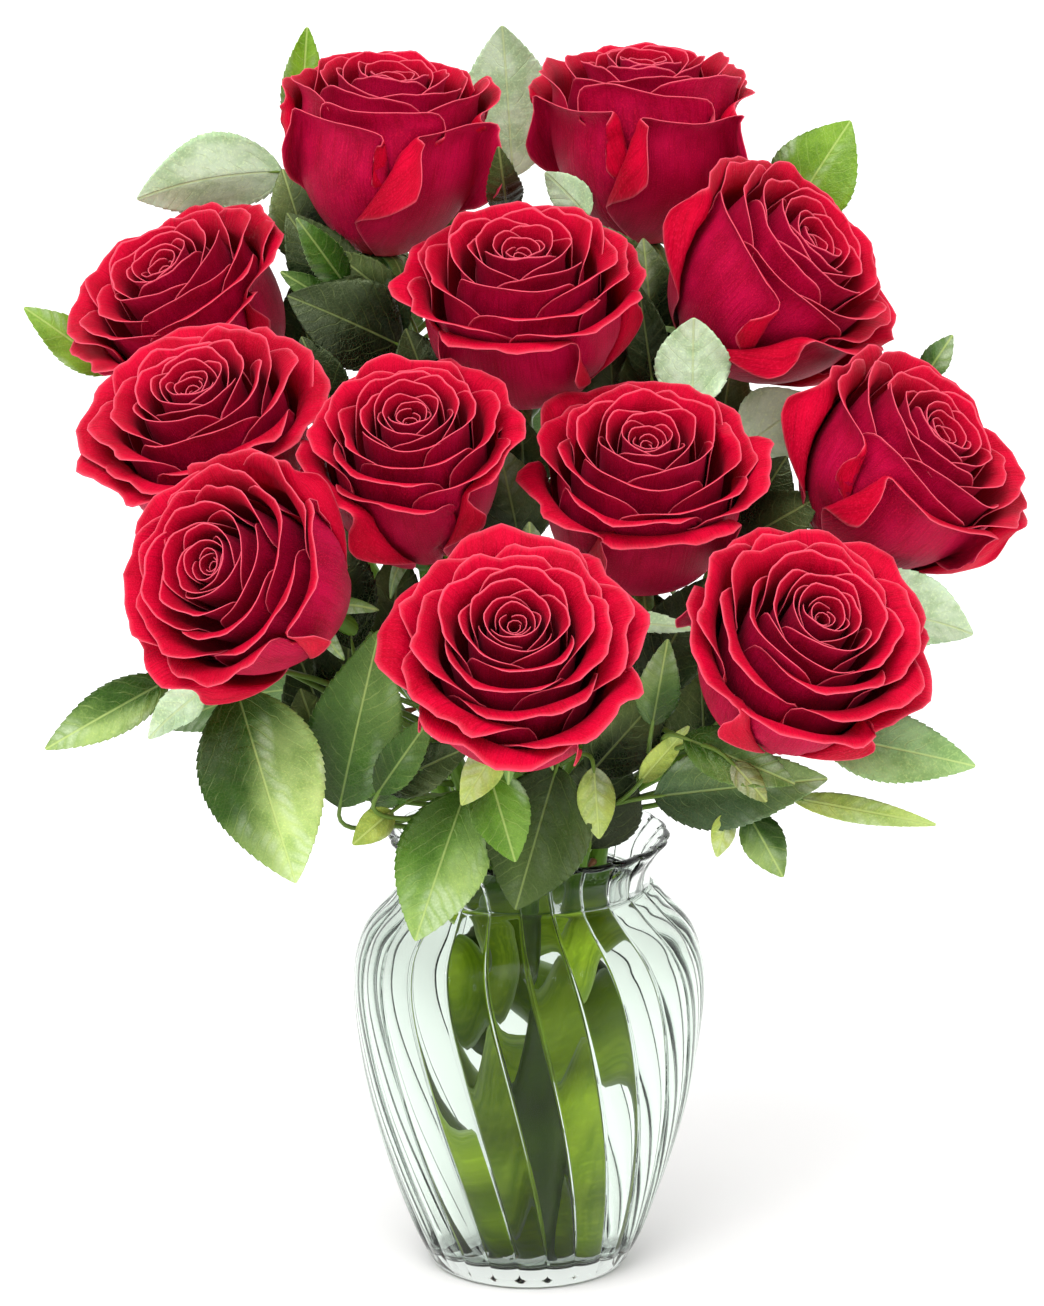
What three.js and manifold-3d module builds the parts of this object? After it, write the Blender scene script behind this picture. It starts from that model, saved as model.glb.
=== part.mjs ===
// A dozen red roses in a ribbed glass vase, in millimetres, +Z up.
// The vase stands on the plane z = 0 with its axis on the Z axis; +X is the right of the front view.
import * as THREE from 'three';
import Module from 'manifold-3d';

const wasm = await Module();
wasm.setup();

// ---------------------------------------------------------------- driving dimensions
const RAD = Math.PI / 180;
const GAP = 0.3;                 // clear distance left between two pieces

// Outer wall of the vase: height, radius. Foot, belly, neck ring, narrow collar, flared rim.
const VASE_OUTER = [
  [0, 36.5], [14, 43.2], [42, 53], [74, 61.2], [108, 65.2], [128, 61.6], [142, 50.4],
  [149, 45.2], [158, 46.2], [166, 52],
];
// Inner wall, from the middle of the thick glass bottom up to the mouth.
const VASE_INNER = [
  [9, 0], [9, 31], [14, 38.6], [42, 49.6], [74, 57.8], [108, 61.8], [128, 58.2], [142, 47],
  [149, 42], [158, 42.8], [166, 48.4],
];
const RIBS = 24;                 // swirled ribs round the outside
const RIB_DEPTH = 1.1;           // crest to valley, halved on each side of the wall
const RIB_SWIRL = 34 * RAD;      // turn of a rib between the rim and the foot
const MOUTH_Z = 166;
const WATER_TOP = 146;
const WATER_BOTTOM = 9 + GAP;
const WATER_CLEAR = 1.0;         // the flats of the inner wall come this much inside its radius

const STEM_R = 3.9;
const STEM_SIDES = 5;
const STEM_FOOT_Z = 9.6;         // lower ends of the stems, just above the bottom of the glass
const NECK_Z = 150;

// One row a rose: heart (middle of the bloom's top), direction it faces, outer radius, height of
// the bloom, openness 0..1, turn of the first petal in degrees, stem in the neck: azimuth, radius.
const ROSES = [
  [[-50, 45, 439], [0.09, -0.09, 0.99], 42, 64, 0.30, 315, 112, 25],
  [[43, 66, 440], [0.02, -0.04, 1.0], 45, 64, 0.40, 300, 66, 25],
  [[-134, 39, 371], [-0.46, -0.35, 0.81], 46, 58, 0.75, 200, 153, 25],
  [[-3, -12, 386], [-0.02, -0.35, 0.94], 48, 58, 0.80, 262, 88, 9],
  [[102, 7, 387], [0.65, -0.33, 0.68], 47, 62, 0.45, 40, 27, 25],
  [[-120, -41, 343], [-0.27, -0.41, 0.87], 49, 56, 0.90, 190, 191, 25],
  [[-42, -71, 339], [-0.07, -0.49, 0.87], 41, 60, 0.70, 215, 218, 15],
  [[42, -58, 327], [0.04, -0.44, 0.9], 47, 60, 0.75, 280, 326, 12],
  [[147, -39, 326], [0.61, -0.32, 0.72], 46, 60, 0.50, 20, 350, 25],
  [[-110, -118, 299], [-0.58, -0.69, 0.44], 45, 60, 0.60, 30, 232, 26],
  [[-5, -132, 280], [0.0, -0.64, 0.77], 49, 56, 1.00, 255, 268, 25],
  [[102, -110, 277], [0.33, -0.6, 0.73], 48, 58, 0.80, 220, 312, 25],
];
// One row a leaf: rose whose stem carries it, height on that stem, base, tip, width, arch, kind.
// Pale and back leaves turn their upper face away from the front.
const LEAVES = [
  [1, 345, [-86, 98, 411], [-83, 94, 453], 16, 2, 'bright'],
  [3, 300, [-92, 74, 402], [-146, 68, 393], 34, 5, 'pale'],
  [2, 335, [-6, 90, 397], [-10, 92, 454], 36, 4, 'pale'],
  [2, 330, [22, 42, 391], [6, 40, 408], 14, 1, 'pale'],
  [5, 300, [96, 74, 383], [120, 80, 420], 32, 4, 'bright'],
  [1, 335, [-8, 38, 393], [-11, 11, 422], 13, 2, 'dark'],
  [3, 290, [-157, 78, 325], [-189, 70, 351], 17, 3, 'bright'],
  [1, 290, [-47, 20, 347], [-88, 14, 367], 33, 4, 'dark'],
  [1, 320, [-67, 22, 369], [-84, 6, 397], 13, 1, 'green'],
  [3, 285, [-68, 22, 360], [-91, 24, 374], 10, 1, 'green'],
  [5, 292, [59, -18, 332], [59, -25, 367], 27, 3, 'pale'],
  [5, 300, [45, 6, 336], [40, 12, 371], 15, 2, 'dark'],
  [5, 285, [78, 0, 313], [105, 4, 331], 30, 2, 'pale'],
  [9, 235, [70, -23, 279], [105, -39, 305], 27, 4, 'dark'],
  [9, 250, [146, 40, 330], [157, 44, 346], 10, 1, 'green'],
  [9, 240, [115, -60, 266], [159, -56, 258], 37, 5, 'pale'],
  [12, 200, [103, -82, 228], [158, -92, 219], 25, 4, 'fresh'],
  [12, 205, [55, -80, 226], [94, -94, 213], 19, 3, 'green'],
  [12, 185, [45, -66, 200], [106, -84, 212], 29, 4, 'grey'],
  [12, 190, [72, -92, 220], [84, -96, 207], 9, 1, 'brown'],
  [12, 183, [78, -72, 196], [91, -76, 173], 15, 2, 'green'],
  [12, 183, [71, -80, 198], [67, -84, 183], 8, 1, 'yellow'],
  [12, 188, [94, -78, 203], [145, -84, 195], 9, 1, 'yellow'],
  [10, 215, [-128, -78, 247], [-172, -84, 223], 18, 2, 'green'],
  [10, 205, [-115, -84, 245], [-135, -88, 228], 14, 2, 'pale'],
  [10, 195, [-104, -80, 244], [-83, -96, 177], 44, 6, 'green'],
  [10, 188, [-68, -72, 198], [-53, -86, 267], 34, 4, 'green'],
  [11, 190, [-54, -86, 207], [-34, -92, 238], 14, 2, 'green'],
  [11, 188, [-52, -70, 205], [-21, -84, 224], 17, 2, 'dark'],
  [10, 183, [-49, -74, 197], [-63, -82, 187], 11, 1, 'yellow'],
  [11, 182, [-23, -66, 202], [-41, -76, 149], 33, 5, 'fresh'],
  [11, 200, [-10, -96, 229], [-24, -100, 207], 13, 1, 'brown'],
  [11, 190, [-15, -86, 217], [-5, -90, 183], 21, 3, 'vivid'],
  [11, 186, [10, -74, 214], [-5, -74, 160], 37, 4, 'olive'],
  [11, 192, [23, -76, 214], [25, -78, 188], 13, 2, 'yellow'],
  [12, 185, [40, -64, 205], [57, -72, 228], 8, 2, 'yellow'],
  [12, 200, [44, -70, 228], [49, -80, 262], 15, 2, 'green'],
  [7, 225, [1, -70, 275], [0, -72, 303], 16, 2, 'dark'],
  [10, 225, [-63, -66, 255], [-69, -52, 299], 22, 3, 'dark'],
  [12, 215, [40, -58, 235], [64, -54, 278], 27, 3, 'dark'],
  [1, 300, [-48, 28, 361], [-72, 22, 382], 15, 2, 'dark'],
  [12, 185, [22, -54, 205], [50, -54, 238], 24, 3, 'dark'],
  [8, 235, [26, -74, 266], [58, -80, 266], 9, 2, 'pale'],
  [1, 300, [-50, 85, 330], [-62, 108, 382], 28, 5, 'back'],
  [2, 290, [48, 92, 320], [62, 118, 368], 30, 5, 'back'],
  [3, 250, [-100, 85, 270], [-128, 112, 300], 28, 5, 'back'],
  [4, 260, [-5, 60, 285], [0, 96, 318], 28, 4, 'back'],
  [5, 240, [75, 70, 280], [100, 100, 312], 30, 5, 'back'],
  [2, 215, [30, 62, 235], [40, 100, 222], 32, 6, 'back'],
  [1, 205, [-38, 58, 222], [-52, 98, 205], 32, 6, 'back'],
  [3, 200, [-75, 48, 222], [-118, 66, 212], 30, 6, 'back'],
  [9, 200, [78, 30, 225], [122, 52, 222], 30, 6, 'back'],
  [6, 210, [-82, -20, 228], [-132, -32, 216], 30, 6, 'back'],
  [1, 340, [-65, 34, 357], [-89, 38, 393], 26, 3, 'dark'],
  [1, 325, [-48, 24, 347], [-68, 30, 380], 24, 3, 'dark'],
  [2, 341, [41, 46, 357], [21, 42, 389], 24, 3, 'dark'],
  [4, 290, [46, 32, 343], [42, 36, 384], 22, 3, 'dark'],
  [7, 253, [-3, -18, 280], [-11, -22, 319], 28, 3, 'dark'],
  [3, 270, [-70, 3, 325], [-83, 8, 353], 18, 2, 'dark'],
  [10, 228, [-50, -34, 244], [-47, -30, 283], 22, 2, 'dark'],
  [8, 177, [41, -22, 197], [46, -16, 245], 34, 3, 'dark'],
  [12, 183, [64, -36, 201], [62, -30, 249], 28, 3, 'dark'],
  [10, 193, [-72, -42, 216], [-84, -46, 249], 26, 3, 'dark'],
  [8, 262, [32, 14, 316], [29, 22, 352], 26, 3, 'dark'],
  [4, 300, [-35, 4, 330], [-45, 8, 356], 20, 2, 'dark'],
  [5, 290, [45, 12, 318], [41, 14, 352], 24, 3, 'dark'],
  [4, 275, [-2, 2, 298], [-3, -6, 326], 22, 3, 'dark'],
  [9, 262, [79, 6, 283], [94, 0, 310], 28, 4, 'dark'],
  [10, 205, [-66, -50, 230], [-64, -46, 267], 24, 3, 'dark'],
  [8, 205, [51, -14, 221], [45, -8, 261], 30, 3, 'dark'],
  [11, 180, [-3, -42, 172], [-11, -48, 214], 34, 3, 'dark'],
  [12, 180, [22, -40, 173], [30, -46, 216], 32, 3, 'dark'],
  [10, 190, [-72, -60, 208], [-82, -62, 239], 26, 3, 'dark'],
  [11, 184, [-56, -66, 197], [-36, -77, 230], 19, 3, 'green'],
  [1, 330, [-81, 66, 368], [-92, 73, 403], 22, 3, 'dark'],
  [3, 280, [-80, 84, 318], [-88, 90, 358], 24, 3, 'dark'],
  [5, 285, [70, 44, 300], [76, 48, 338], 22, 2, 'dark'],
  [1, 335, [-30, 74, 352], [-28, 78, 392], 24, 2, 'dark'],
];
const LEAF_THICK = 0.8;
const LEAF_FOLD = 0.22;          // rise of the halves from the midrib
const LEAF_CUT = 0.86;           // depth of the cut edge
const TOWARDS = [0, -0.94, 0.34];
const AWAY = [0, 0.94, 0.34];

const STEM_TURN = 12;            // degrees the bundle turns between the neck and the foot
const STEM_DRAW = 0.62;          // how far the bundle draws together at the foot

const PETALS = 30;               // petals of a rose, counted from the outside
const PETALS_CUT = [0, 1, 2, 3, 4, 10];   // the ones modelled as blades here
const HEART_AT = [[5, 0.30], [10, 0.52], [18, 0.78]];   // petal, height along it
const HEART_DIMPLE = 5;          // the furled middle is open this deep
const FURL_STEP = 0.15;          // edges of the furled inner petals, raised round the heart
const ROOT_DEPTH = 3.4;
const GOLDEN = 137.5;
const PETAL_THICK = 0.8;
const PETAL_BASE_Z = 1.2;
const FUSE_TOLERANCE = 0.4;      // edges shorter than this are merged after fusing

// ---------------------------------------------------------------- small vector helpers
const add = (a, b) => [a[0] + b[0], a[1] + b[1], a[2] + b[2]];
const sub = (a, b) => [a[0] - b[0], a[1] - b[1], a[2] - b[2]];
const mul = (a, s) => [a[0] * s, a[1] * s, a[2] * s];
const dot = (a, b) => a[0] * b[0] + a[1] * b[1] + a[2] * b[2];
const cross = (a, b) => [a[1] * b[2] - a[2] * b[1], a[2] * b[0] - a[0] * b[2], a[0] * b[1] - a[1] * b[0]];
const len = (a) => Math.sqrt(dot(a, a));
const unit = (a) => mul(a, 1 / (len(a) || 1));
const mix = (a, b, s) => add(mul(a, 1 - s), mul(b, s));
const clamp = (x, lo, hi) => Math.min(hi, Math.max(lo, x));

// A repeatable wobble between -1 and 1 for a number.
function wobble(k) {
  const s = Math.sin(k * 12.9898) * 43758.5453;
  return 2 * (s - Math.floor(s)) - 1;
}

function cubic(p0, p1, p2, p3, s) {
  const q = 1 - s;
  const a = add(mul(p0, q * q * q), mul(p1, 3 * q * q * s));
  return add(a, add(mul(p2, 3 * q * s * s), mul(p3, s * s * s)));
}

// ---------------------------------------------------------------- closed solids from points
function solidOf(points, triangles) {
  const mesh = new wasm.Mesh({
    numProp: 3,
    vertProperties: new Float32Array(points.flat()),
    triVerts: new Uint32Array(triangles.flat()),
  });
  const made = new wasm.Manifold(mesh);
  if (made.volume() >= 0) return made;
  const flipped = triangles.map(([a, b, c]) => [a, c, b]);
  return new wasm.Manifold(new wasm.Mesh({
    numProp: 3,
    vertProperties: new Float32Array(points.flat()),
    triVerts: new Uint32Array(flipped.flat()),
  }));
}

// Parts fused to one body; a pocket sealed off between them is filled.
function fused(parts) {
  const joined = wasm.Manifold.union(parts).simplify(FUSE_TOLERANCE);
  const shells = joined.decompose().filter((m) => m.volume() > 0);
  shells.sort((a, b) => b.volume() - a.volume());
  if (shells.length > 1 && shells[1].volume() > 1) throw new Error('a part is not joined to its node');
  return shells[0];
}

// A blade: a grid of points (rows by columns) thickened evenly to both sides and closed round its edge.
function blade(grid, thick) {
  const rows = grid.length;
  const cols = grid[0].length;
  const top = [];
  const bottom = [];
  for (let r = 0; r < rows; r += 1) {
    for (let c = 0; c < cols; c += 1) {
      const along = sub(grid[Math.min(r + 1, rows - 1)][c], grid[Math.max(r - 1, 0)][c]);
      const across = sub(grid[r][Math.min(c + 1, cols - 1)], grid[r][Math.max(c - 1, 0)]);
      const n = unit(cross(along, across));
      top.push(add(grid[r][c], mul(n, thick / 2)));
      bottom.push(add(grid[r][c], mul(n, -thick / 2)));
    }
  }
  const at = (r, c) => r * cols + c;
  const low = (r, c) => rows * cols + at(r, c);
  const tris = [];
  for (let r = 0; r + 1 < rows; r += 1) {
    for (let c = 0; c + 1 < cols; c += 1) {
      tris.push([at(r, c), at(r + 1, c), at(r + 1, c + 1)], [at(r, c), at(r + 1, c + 1), at(r, c + 1)]);
      tris.push([low(r, c), low(r + 1, c + 1), low(r + 1, c)], [low(r, c), low(r, c + 1), low(r + 1, c + 1)]);
    }
  }
  const wall = (a, b, a2, b2) => tris.push([a, b, b2], [a, b2, a2]);
  for (let c = 0; c + 1 < cols; c += 1) {
    wall(at(0, c), at(0, c + 1), low(0, c), low(0, c + 1));
    wall(at(rows - 1, c + 1), at(rows - 1, c), low(rows - 1, c + 1), low(rows - 1, c));
  }
  for (let r = 0; r + 1 < rows; r += 1) {
    wall(at(r + 1, 0), at(r, 0), low(r + 1, 0), low(r, 0));
    wall(at(r, cols - 1), at(r + 1, cols - 1), low(r, cols - 1), low(r + 1, cols - 1));
  }
  return solidOf([...top, ...bottom], tris);
}

// A round bar along a path, with a radius for each path point and flat ends.
function tube(path, radii, sides) {
  const points = [];
  let side = null;
  for (let i = 0; i < path.length; i += 1) {
    const ahead = unit(sub(path[Math.min(i + 1, path.length - 1)], path[Math.max(i - 1, 0)]));
    if (side === null) side = Math.abs(ahead[0]) < 0.8 ? [1, 0, 0] : [0, 1, 0];
    side = unit(sub(side, mul(ahead, dot(side, ahead))));
    const other = cross(ahead, side);
    for (let k = 0; k < sides; k += 1) {
      const a = (2 * Math.PI * k) / sides;
      const off = add(mul(side, Math.cos(a) * radii[i]), mul(other, Math.sin(a) * radii[i]));
      points.push(add(path[i], off));
    }
  }
  const tris = [];
  for (let i = 0; i + 1 < path.length; i += 1) {
    for (let k = 0; k < sides; k += 1) {
      const a = i * sides + k;
      const b = i * sides + ((k + 1) % sides);
      tris.push([a, b, b + sides], [a, b + sides, a + sides]);
    }
  }
  const last = (path.length - 1) * sides;
  for (let k = 1; k + 1 < sides; k += 1) {
    tris.push([0, k + 1, k], [last, last + k, last + k + 1]);
  }
  return solidOf(points, tris);
}

// A body turned from [height, radius] rows that starts and ends on the axis or with a flat disc.
function turned(rows, around, radiusAt) {
  const points = [];
  const rings = [];
  for (const [z, r] of rows) {
    if (r === 0) {
      rings.push([points.length]);
      points.push([0, 0, z]);
      continue;
    }
    const ring = [];
    for (let k = 0; k < around; k += 1) {
      const a = (2 * Math.PI * k) / around;
      const p = radiusAt(z, r, a, k);
      ring.push(points.length);
      points.push([p[1] * Math.cos(p[0]), p[1] * Math.sin(p[0]), z]);
    }
    rings.push(ring);
  }
  const tris = [];
  const fan = (ring, up) => {
    for (let k = 1; k + 1 < ring.length; k += 1) {
      tris.push(up ? [ring[0], ring[k], ring[k + 1]] : [ring[0], ring[k + 1], ring[k]]);
    }
  };
  for (let i = 0; i + 1 < rings.length; i += 1) {
    const a = rings[i];
    const b = rings[i + 1];
    for (let k = 0; k < around; k += 1) {
      const m = (k + 1) % around;
      if (a.length === 1) tris.push([a[0], b[m], b[k]]);
      else if (b.length === 1) tris.push([a[k], a[m], b[0]]);
      else tris.push([a[k], a[m], b[m]], [a[k], b[m], b[k]]);
    }
  }
  if (rings[0].length > 1) fan(rings[0], false);
  if (rings[rings.length - 1].length > 1) fan(rings[rings.length - 1], true);
  return solidOf(points, tris);
}

// ---------------------------------------------------------------- vase and water
function ribbed(z, r, a, k) {
  const turn = -RIB_SWIRL * (1 - z / MOUTH_Z);
  const depth = z < 1 ? 0 : RIB_DEPTH / 2;
  return [a - turn, r + (k % 2 === 0 ? depth : -depth)];
}

const plain = (z, r, a) => [a, r];

function vaseBody() {
  const outer = turned(VASE_OUTER, 2 * RIBS, ribbed);
  const above = [[MOUTH_Z + 2, VASE_INNER[VASE_INNER.length - 1][1] + 3]];
  const inner = turned([...VASE_INNER, ...above], 24, plain);
  return outer.subtract(inner);
}

function wallRadius(z) {
  for (let i = 1; i + 1 < VASE_INNER.length; i += 1) {
    const [z0, r0] = VASE_INNER[i];
    const [z1, r1] = VASE_INNER[i + 1];
    if (z <= z1) return r0 + ((r1 - r0) * (z - z0)) / (z1 - z0);
  }
  return VASE_INNER[VASE_INNER.length - 1][1];
}

// Water up to its level, clear of the faceted wall all round.
function waterBody() {
  const rows = VASE_INNER.filter(([z]) => z > WATER_BOTTOM && z < WATER_TOP - 3);
  return turned(
    [
      [WATER_BOTTOM, 0], [WATER_BOTTOM, 31 - WATER_CLEAR],
      ...rows.map(([z, r]) => [z, r - WATER_CLEAR]),
      [WATER_TOP, wallRadius(WATER_TOP) - WATER_CLEAR], [WATER_TOP, 0],
    ],
    16,
    plain,
  );
}

// ---------------------------------------------------------------- stems
function roseFrame(face) {
  const z = unit(face);
  const x = unit(cross([0, 1, 0], z));
  return [x, cross(z, x), z];
}

function placed(frame, origin, p) {
  return add(origin, add(mul(frame[0], p[0]), add(mul(frame[1], p[1]), mul(frame[2], p[2]))));
}

// Foot, neck point and the curve on to the calyx of a rose, as a list of points.
function stemPath(rose) {
  const [heart, face, , high, , , azimuth, ring] = rose;
  const base = sub(heart, mul(unit(face), high));
  const foot = [
    ring * STEM_DRAW * Math.cos((azimuth + STEM_TURN) * RAD) + 3,
    ring * STEM_DRAW * Math.sin((azimuth + STEM_TURN) * RAD),
    STEM_FOOT_Z,
  ];
  const neck = [ring * Math.cos(azimuth * RAD), ring * Math.sin(azimuth * RAD), NECK_Z];
  const reach = len(sub(base, neck));
  const up = unit(sub(neck, foot));
  const c1 = add(neck, mul(up, 0.42 * reach));
  const c2 = sub(base, mul(unit(face), 0.30 * reach));
  const path = [foot, neck];
  for (let i = 1; i <= 5; i += 1) path.push(cubic(neck, c1, c2, base, i / 5));
  return path;
}

// The same curve with the swollen calyx at its end.
function stemSolid(rose) {
  const path = stemPath(rose);
  const base = path[path.length - 1];
  const z = unit(rose[1]);
  const end = path.slice(0, -1);
  const radii = end.map((p, i) => STEM_R - 0.09 * i);
  const bulge = [[11, 3], [6, 6.6], [GAP, 6.6]];
  for (const [down, r] of bulge) {
    end.push(sub(base, mul(z, down)));
    radii.push(r);
  }
  return tube(end, radii, STEM_SIDES);
}

// ---------------------------------------------------------------- leaves
// Half width of a leaf along its length, 0 at the base and 1 at the tip.
function leafShape(v) {
  return Math.pow(Math.sin(Math.PI * Math.pow(v, 0.78)), 0.85);
}

// Point of a leaf: u -1..1 across, v 0..1 along; the midrib arches and the halves rise from it.
function leafPoint(leaf, u, v) {
  const [, , base, tip, width, arch, kind] = leaf;
  const along = sub(tip, base);
  const facing = kind === 'pale' || kind === 'back' ? AWAY : TOWARDS;
  const side = unit(cross(facing, along));
  const up = unit(cross(along, side));
  const half = 0.4 + (width / 2) * leafShape(clamp(v, 0.0, 1));
  const lift = arch * 4 * v * (1 - v) + LEAF_FOLD * Math.abs(u) * half;
  return add(add(base, mul(along, v)), add(mul(side, u * half), mul(up, lift)));
}

function stemPointAt(path, z) {
  for (let i = 1; i < path.length; i += 1) {
    if (path[i][2] >= z) {
      const f = (z - path[i - 1][2]) / (path[i][2] - path[i - 1][2]);
      return mix(path[i - 1], path[i], f);
    }
  }
  return path[path.length - 1];
}

// A leaf with cut edges, and the stalk that roots it in its stem.
function leafSolids(leaf, path) {
  const [, z, base, tip, width] = leaf;
  const rows = width > 30 ? 6 : 4;
  const across = [-1, 1];
  const grid = [];
  for (let i = 0; i <= rows; i += 1) {
    const cut = i % 2 === 1 ? 1 : LEAF_CUT;
    grid.push(across.map((u) => leafPoint(leaf, u * cut, i / rows)));
  }
  const start = stemPointAt(path, z);
  const away = len(sub(base, start));
  const bendAt = sub(base, mul(unit(sub(tip, base)), 0.3 * away));
  const bow = (s) => cubic(start, mix(start, bendAt, 0.67), mix(base, bendAt, 0.67), base, s);
  const stalk = [start, bow(0.5), mix(leafPoint(leaf, -1, 0.07), leafPoint(leaf, 1, 0.07), 0.5)];
  return [blade(grid, LEAF_THICK), tube(stalk, [1.1, 0.95, 0.8], 3)];
}

// ---------------------------------------------------------------- blooms
// Point of petal j (0 the outermost) in the frame of its bloom; u runs -1..1 across, v 0..1 up.
function petalPoint(rose, j, u, v) {
  const [, , R, H, open, first] = rose;
  const t = 1 - j / (PETALS - 1);
  const seed = first * 7 + j * 3;
  const rise = v * (1 - 0.34 * Math.pow(Math.abs(u), 2.6));

  let roll = (-12 + (62 + 80 * open) * Math.pow(t, 0.95)) * RAD * (1 + 0.16 * wobble(seed + 1));
  if (Math.abs(roll) < 0.03) roll = 0.03;
  const lip = R * (0.09 + 0.36 * t * (0.35 + 0.65 * open));
  const spread = ((1.22 * Math.pow(t, 1.25)) / (1 + 0.22 * Math.pow(t, 6))) * (1 + 0.05 * t * wobble(seed + 5));
  const edge = 2 + (R - 2) * spread - (lip / roll) * (1 - Math.cos(roll)) * Math.pow(t, 0.4);
  const drop = (0.09 + 0.26 * open) * R * t * t;
  let top = H * (1 + 0.05 * Math.sin(Math.PI * t)) - drop - (lip / roll) * Math.sin(roll) * 0.7 * t;
  top -= 5 * Math.max(0, 1 - t / 0.2);
  const tall = top + 3.2 * wobble(seed + 2) * t - PETAL_BASE_Z;
  const foot = 3 + 4.5 * t;

  // Meridian: a curve for the cup of the petal, then an arc for its rolled lip.
  const s = Math.min(1, rise / 0.76);
  const q = 1 - s;
  const r1 = foot + (edge - foot) * (0.26 + 0.16 * t + 0.40 * open * t);
  const r2 = edge * (1.02 + 0.28 * clamp(1 - 4 * t, 0, 1)) + 1.5 * (1 - t);
  let rho = q * q * q * foot + 3 * q * q * s * r1 + 3 * q * s * s * r2 + s * s * s * edge;
  let z = 3 * q * q * s * 0.12 * tall + 3 * q * s * s * 0.54 * tall + s * s * s * tall;
  const flank = Math.pow(Math.min(1, Math.abs(u) * 1.5), 1.4);
  const turn = roll * Math.max(0, (rise - 0.76) / 0.24) * (1 + t * (0.7 * flank - 0.3));
  rho += (lip / roll) * (1 - Math.cos(turn));
  z += (lip / roll) * Math.sin(turn) + PETAL_BASE_Z;

  // Width across, wrapped round the bloom; its side margins scroll out beyond a fold that runs
  // in towards the tip.
  const swell = Math.pow(Math.sin((Math.PI / 2) * Math.min(1, rise / 0.70)), 1.35);
  const wide = R * (0.34 + 0.50 * t) * (0.16 + 0.84 * swell) * (1 + 0.08 * wobble(seed + 4));
  const lapel = (0.72 - 0.34 * open) * t * t * t;
  const fold = R * (0.34 + 0.50 * t) * (1 - lapel * Math.pow(clamp((v - 0.26) / 0.62, 0, 1), 0.9));
  const over = Math.max(0, Math.abs(u) * wide - fold);
  const curl = Math.max(R * (0.09 + 0.05 * open), over / 2.5);
  const bend = Math.max(2.2, rho * (1 + 0.28 * t * Math.pow(rise, 4)));
  const reach = Math.min(Math.abs(u) * wide, fold) + curl * Math.sin(over / curl);
  const arc = clamp((Math.sign(u) * reach) / bend, -1.95, 1.95);
  const twist = (0.03 + 0.12 * (1 - t)) * u * rho;
  const wave = R * t * rise * rise
    * (0.026 * Math.sin(3.4 * u + seed) + 0.014 * rise * Math.sin(7.3 * u + 1.7 * seed));
  const margin = curl * (1 - Math.cos(over / curl));
  const out = rho + twist + wave + margin - bend * (1 - Math.cos(arc));
  const side = bend * Math.sin(arc);
  z += R * 0.028 * t * rise * Math.cos(4.1 * u + 2 * seed) + 0.09 * wobble(seed + 9) * side * rise * rise;
  const az = (first + j * GOLDEN + 10 * wobble(seed)) * RAD + 0.30 * wobble(seed + 6) * t * rise;
  return [
    out * Math.cos(az) - side * Math.sin(az),
    out * Math.sin(az) + side * Math.cos(az),
    z,
  ];
}

// Height and radius rows of the heart that the petals stand out of, hugging their inner side.
function heartRows(rose) {
  const rows = [[0, 0], [0, 8.5]];
  for (const [j, v] of HEART_AT) {
    const p = petalPoint(rose, j, 0, v);
    rows.push([p[2], Math.hypot(p[0], p[1]) - 0.8]);
  }
  const [top, mouth] = rows[rows.length - 1];
  rows.push([top + 1.5, mouth * 0.62], [top - HEART_DIMPLE, 0]);
  return rows;
}

// Radius of the heart round its axis: two furled petal edges that climb it as a spiral.
function furled(high) {
  return (z, r, a, k) => {
    const step = z < 0.6 * high ? 0 : ((k + (z > 0.9 * high ? 1 : 0)) % 4) / 3;
    return [a, r * (1 - FURL_STEP * step)];
  };
}

function radiusAt(rows, z) {
  for (let i = 1; i + 1 < rows.length; i += 1) {
    const [z0, r0] = rows[i];
    const [z1, r1] = rows[i + 1];
    if (z <= z1) return r0 + ((r1 - r0) * (z - z0)) / (z1 - z0);
  }
  return 0;
}

// A petal as a blade whose first row is drawn in to root it in the heart.
function petalSolid(rose, j, frame, base, rows) {
  const outer = j < 5;
  const across = outer ? [-1, -0.4, 0.4, 1] : [-1, 0, 1];
  const along = outer ? [0.24, 0.72, 1] : [0.6, 1];
  const grid = along.map((v, i) => across.map((u) => {
    const p = petalPoint(rose, j, u, v);
    if (i === 0) {
      const want = Math.min(Math.hypot(p[0], p[1]), radiusAt(rows, p[2]) - ROOT_DEPTH);
      const by = want / Math.hypot(p[0], p[1]);
      p[0] *= by;
      p[1] *= by;
    }
    return placed(frame, base, p);
  }));
  return blade(grid, PETAL_THICK);
}

function bloomSolids(rose) {
  const [heart, face, , H] = rose;
  const frame = roseFrame(face);
  const base = sub(heart, mul(frame[2], H));
  const rows = heartRows(rose);
  const parts = PETALS_CUT.map((j) => petalSolid(rose, j, frame, base, rows));
  const core = turned(rows, 8, furled(H));
  const m = [
    frame[0][0], frame[0][1], frame[0][2], 0, frame[1][0], frame[1][1], frame[1][2], 0,
    frame[2][0], frame[2][1], frame[2][2], 0, base[0], base[1], base[2], 1,
  ];
  return [core.transform(m), ...parts];
}

// ---------------------------------------------------------------- assembly
const COLOURS = { glass: 0xdfe9e4, water: 0xe6f1ec, petal: 0xb40f22, green: 0x3f6b2b };
const group = new THREE.Group();

function put(name, solid, colour, see) {
  const { vertProperties, triVerts } = solid.getMesh();
  const geometry = new THREE.BufferGeometry();
  geometry.setAttribute('position', new THREE.BufferAttribute(new Float32Array(vertProperties), 3));
  geometry.setIndex(new THREE.BufferAttribute(new Uint32Array(triVerts), 1));
  const material = new THREE.MeshStandardMaterial({ color: colour, transparent: see < 1, opacity: see });
  const mesh = new THREE.Mesh(geometry, material);
  mesh.name = name;
  group.add(mesh);
}

put('vase', vaseBody(), COLOURS.glass, 0.35);

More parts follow.
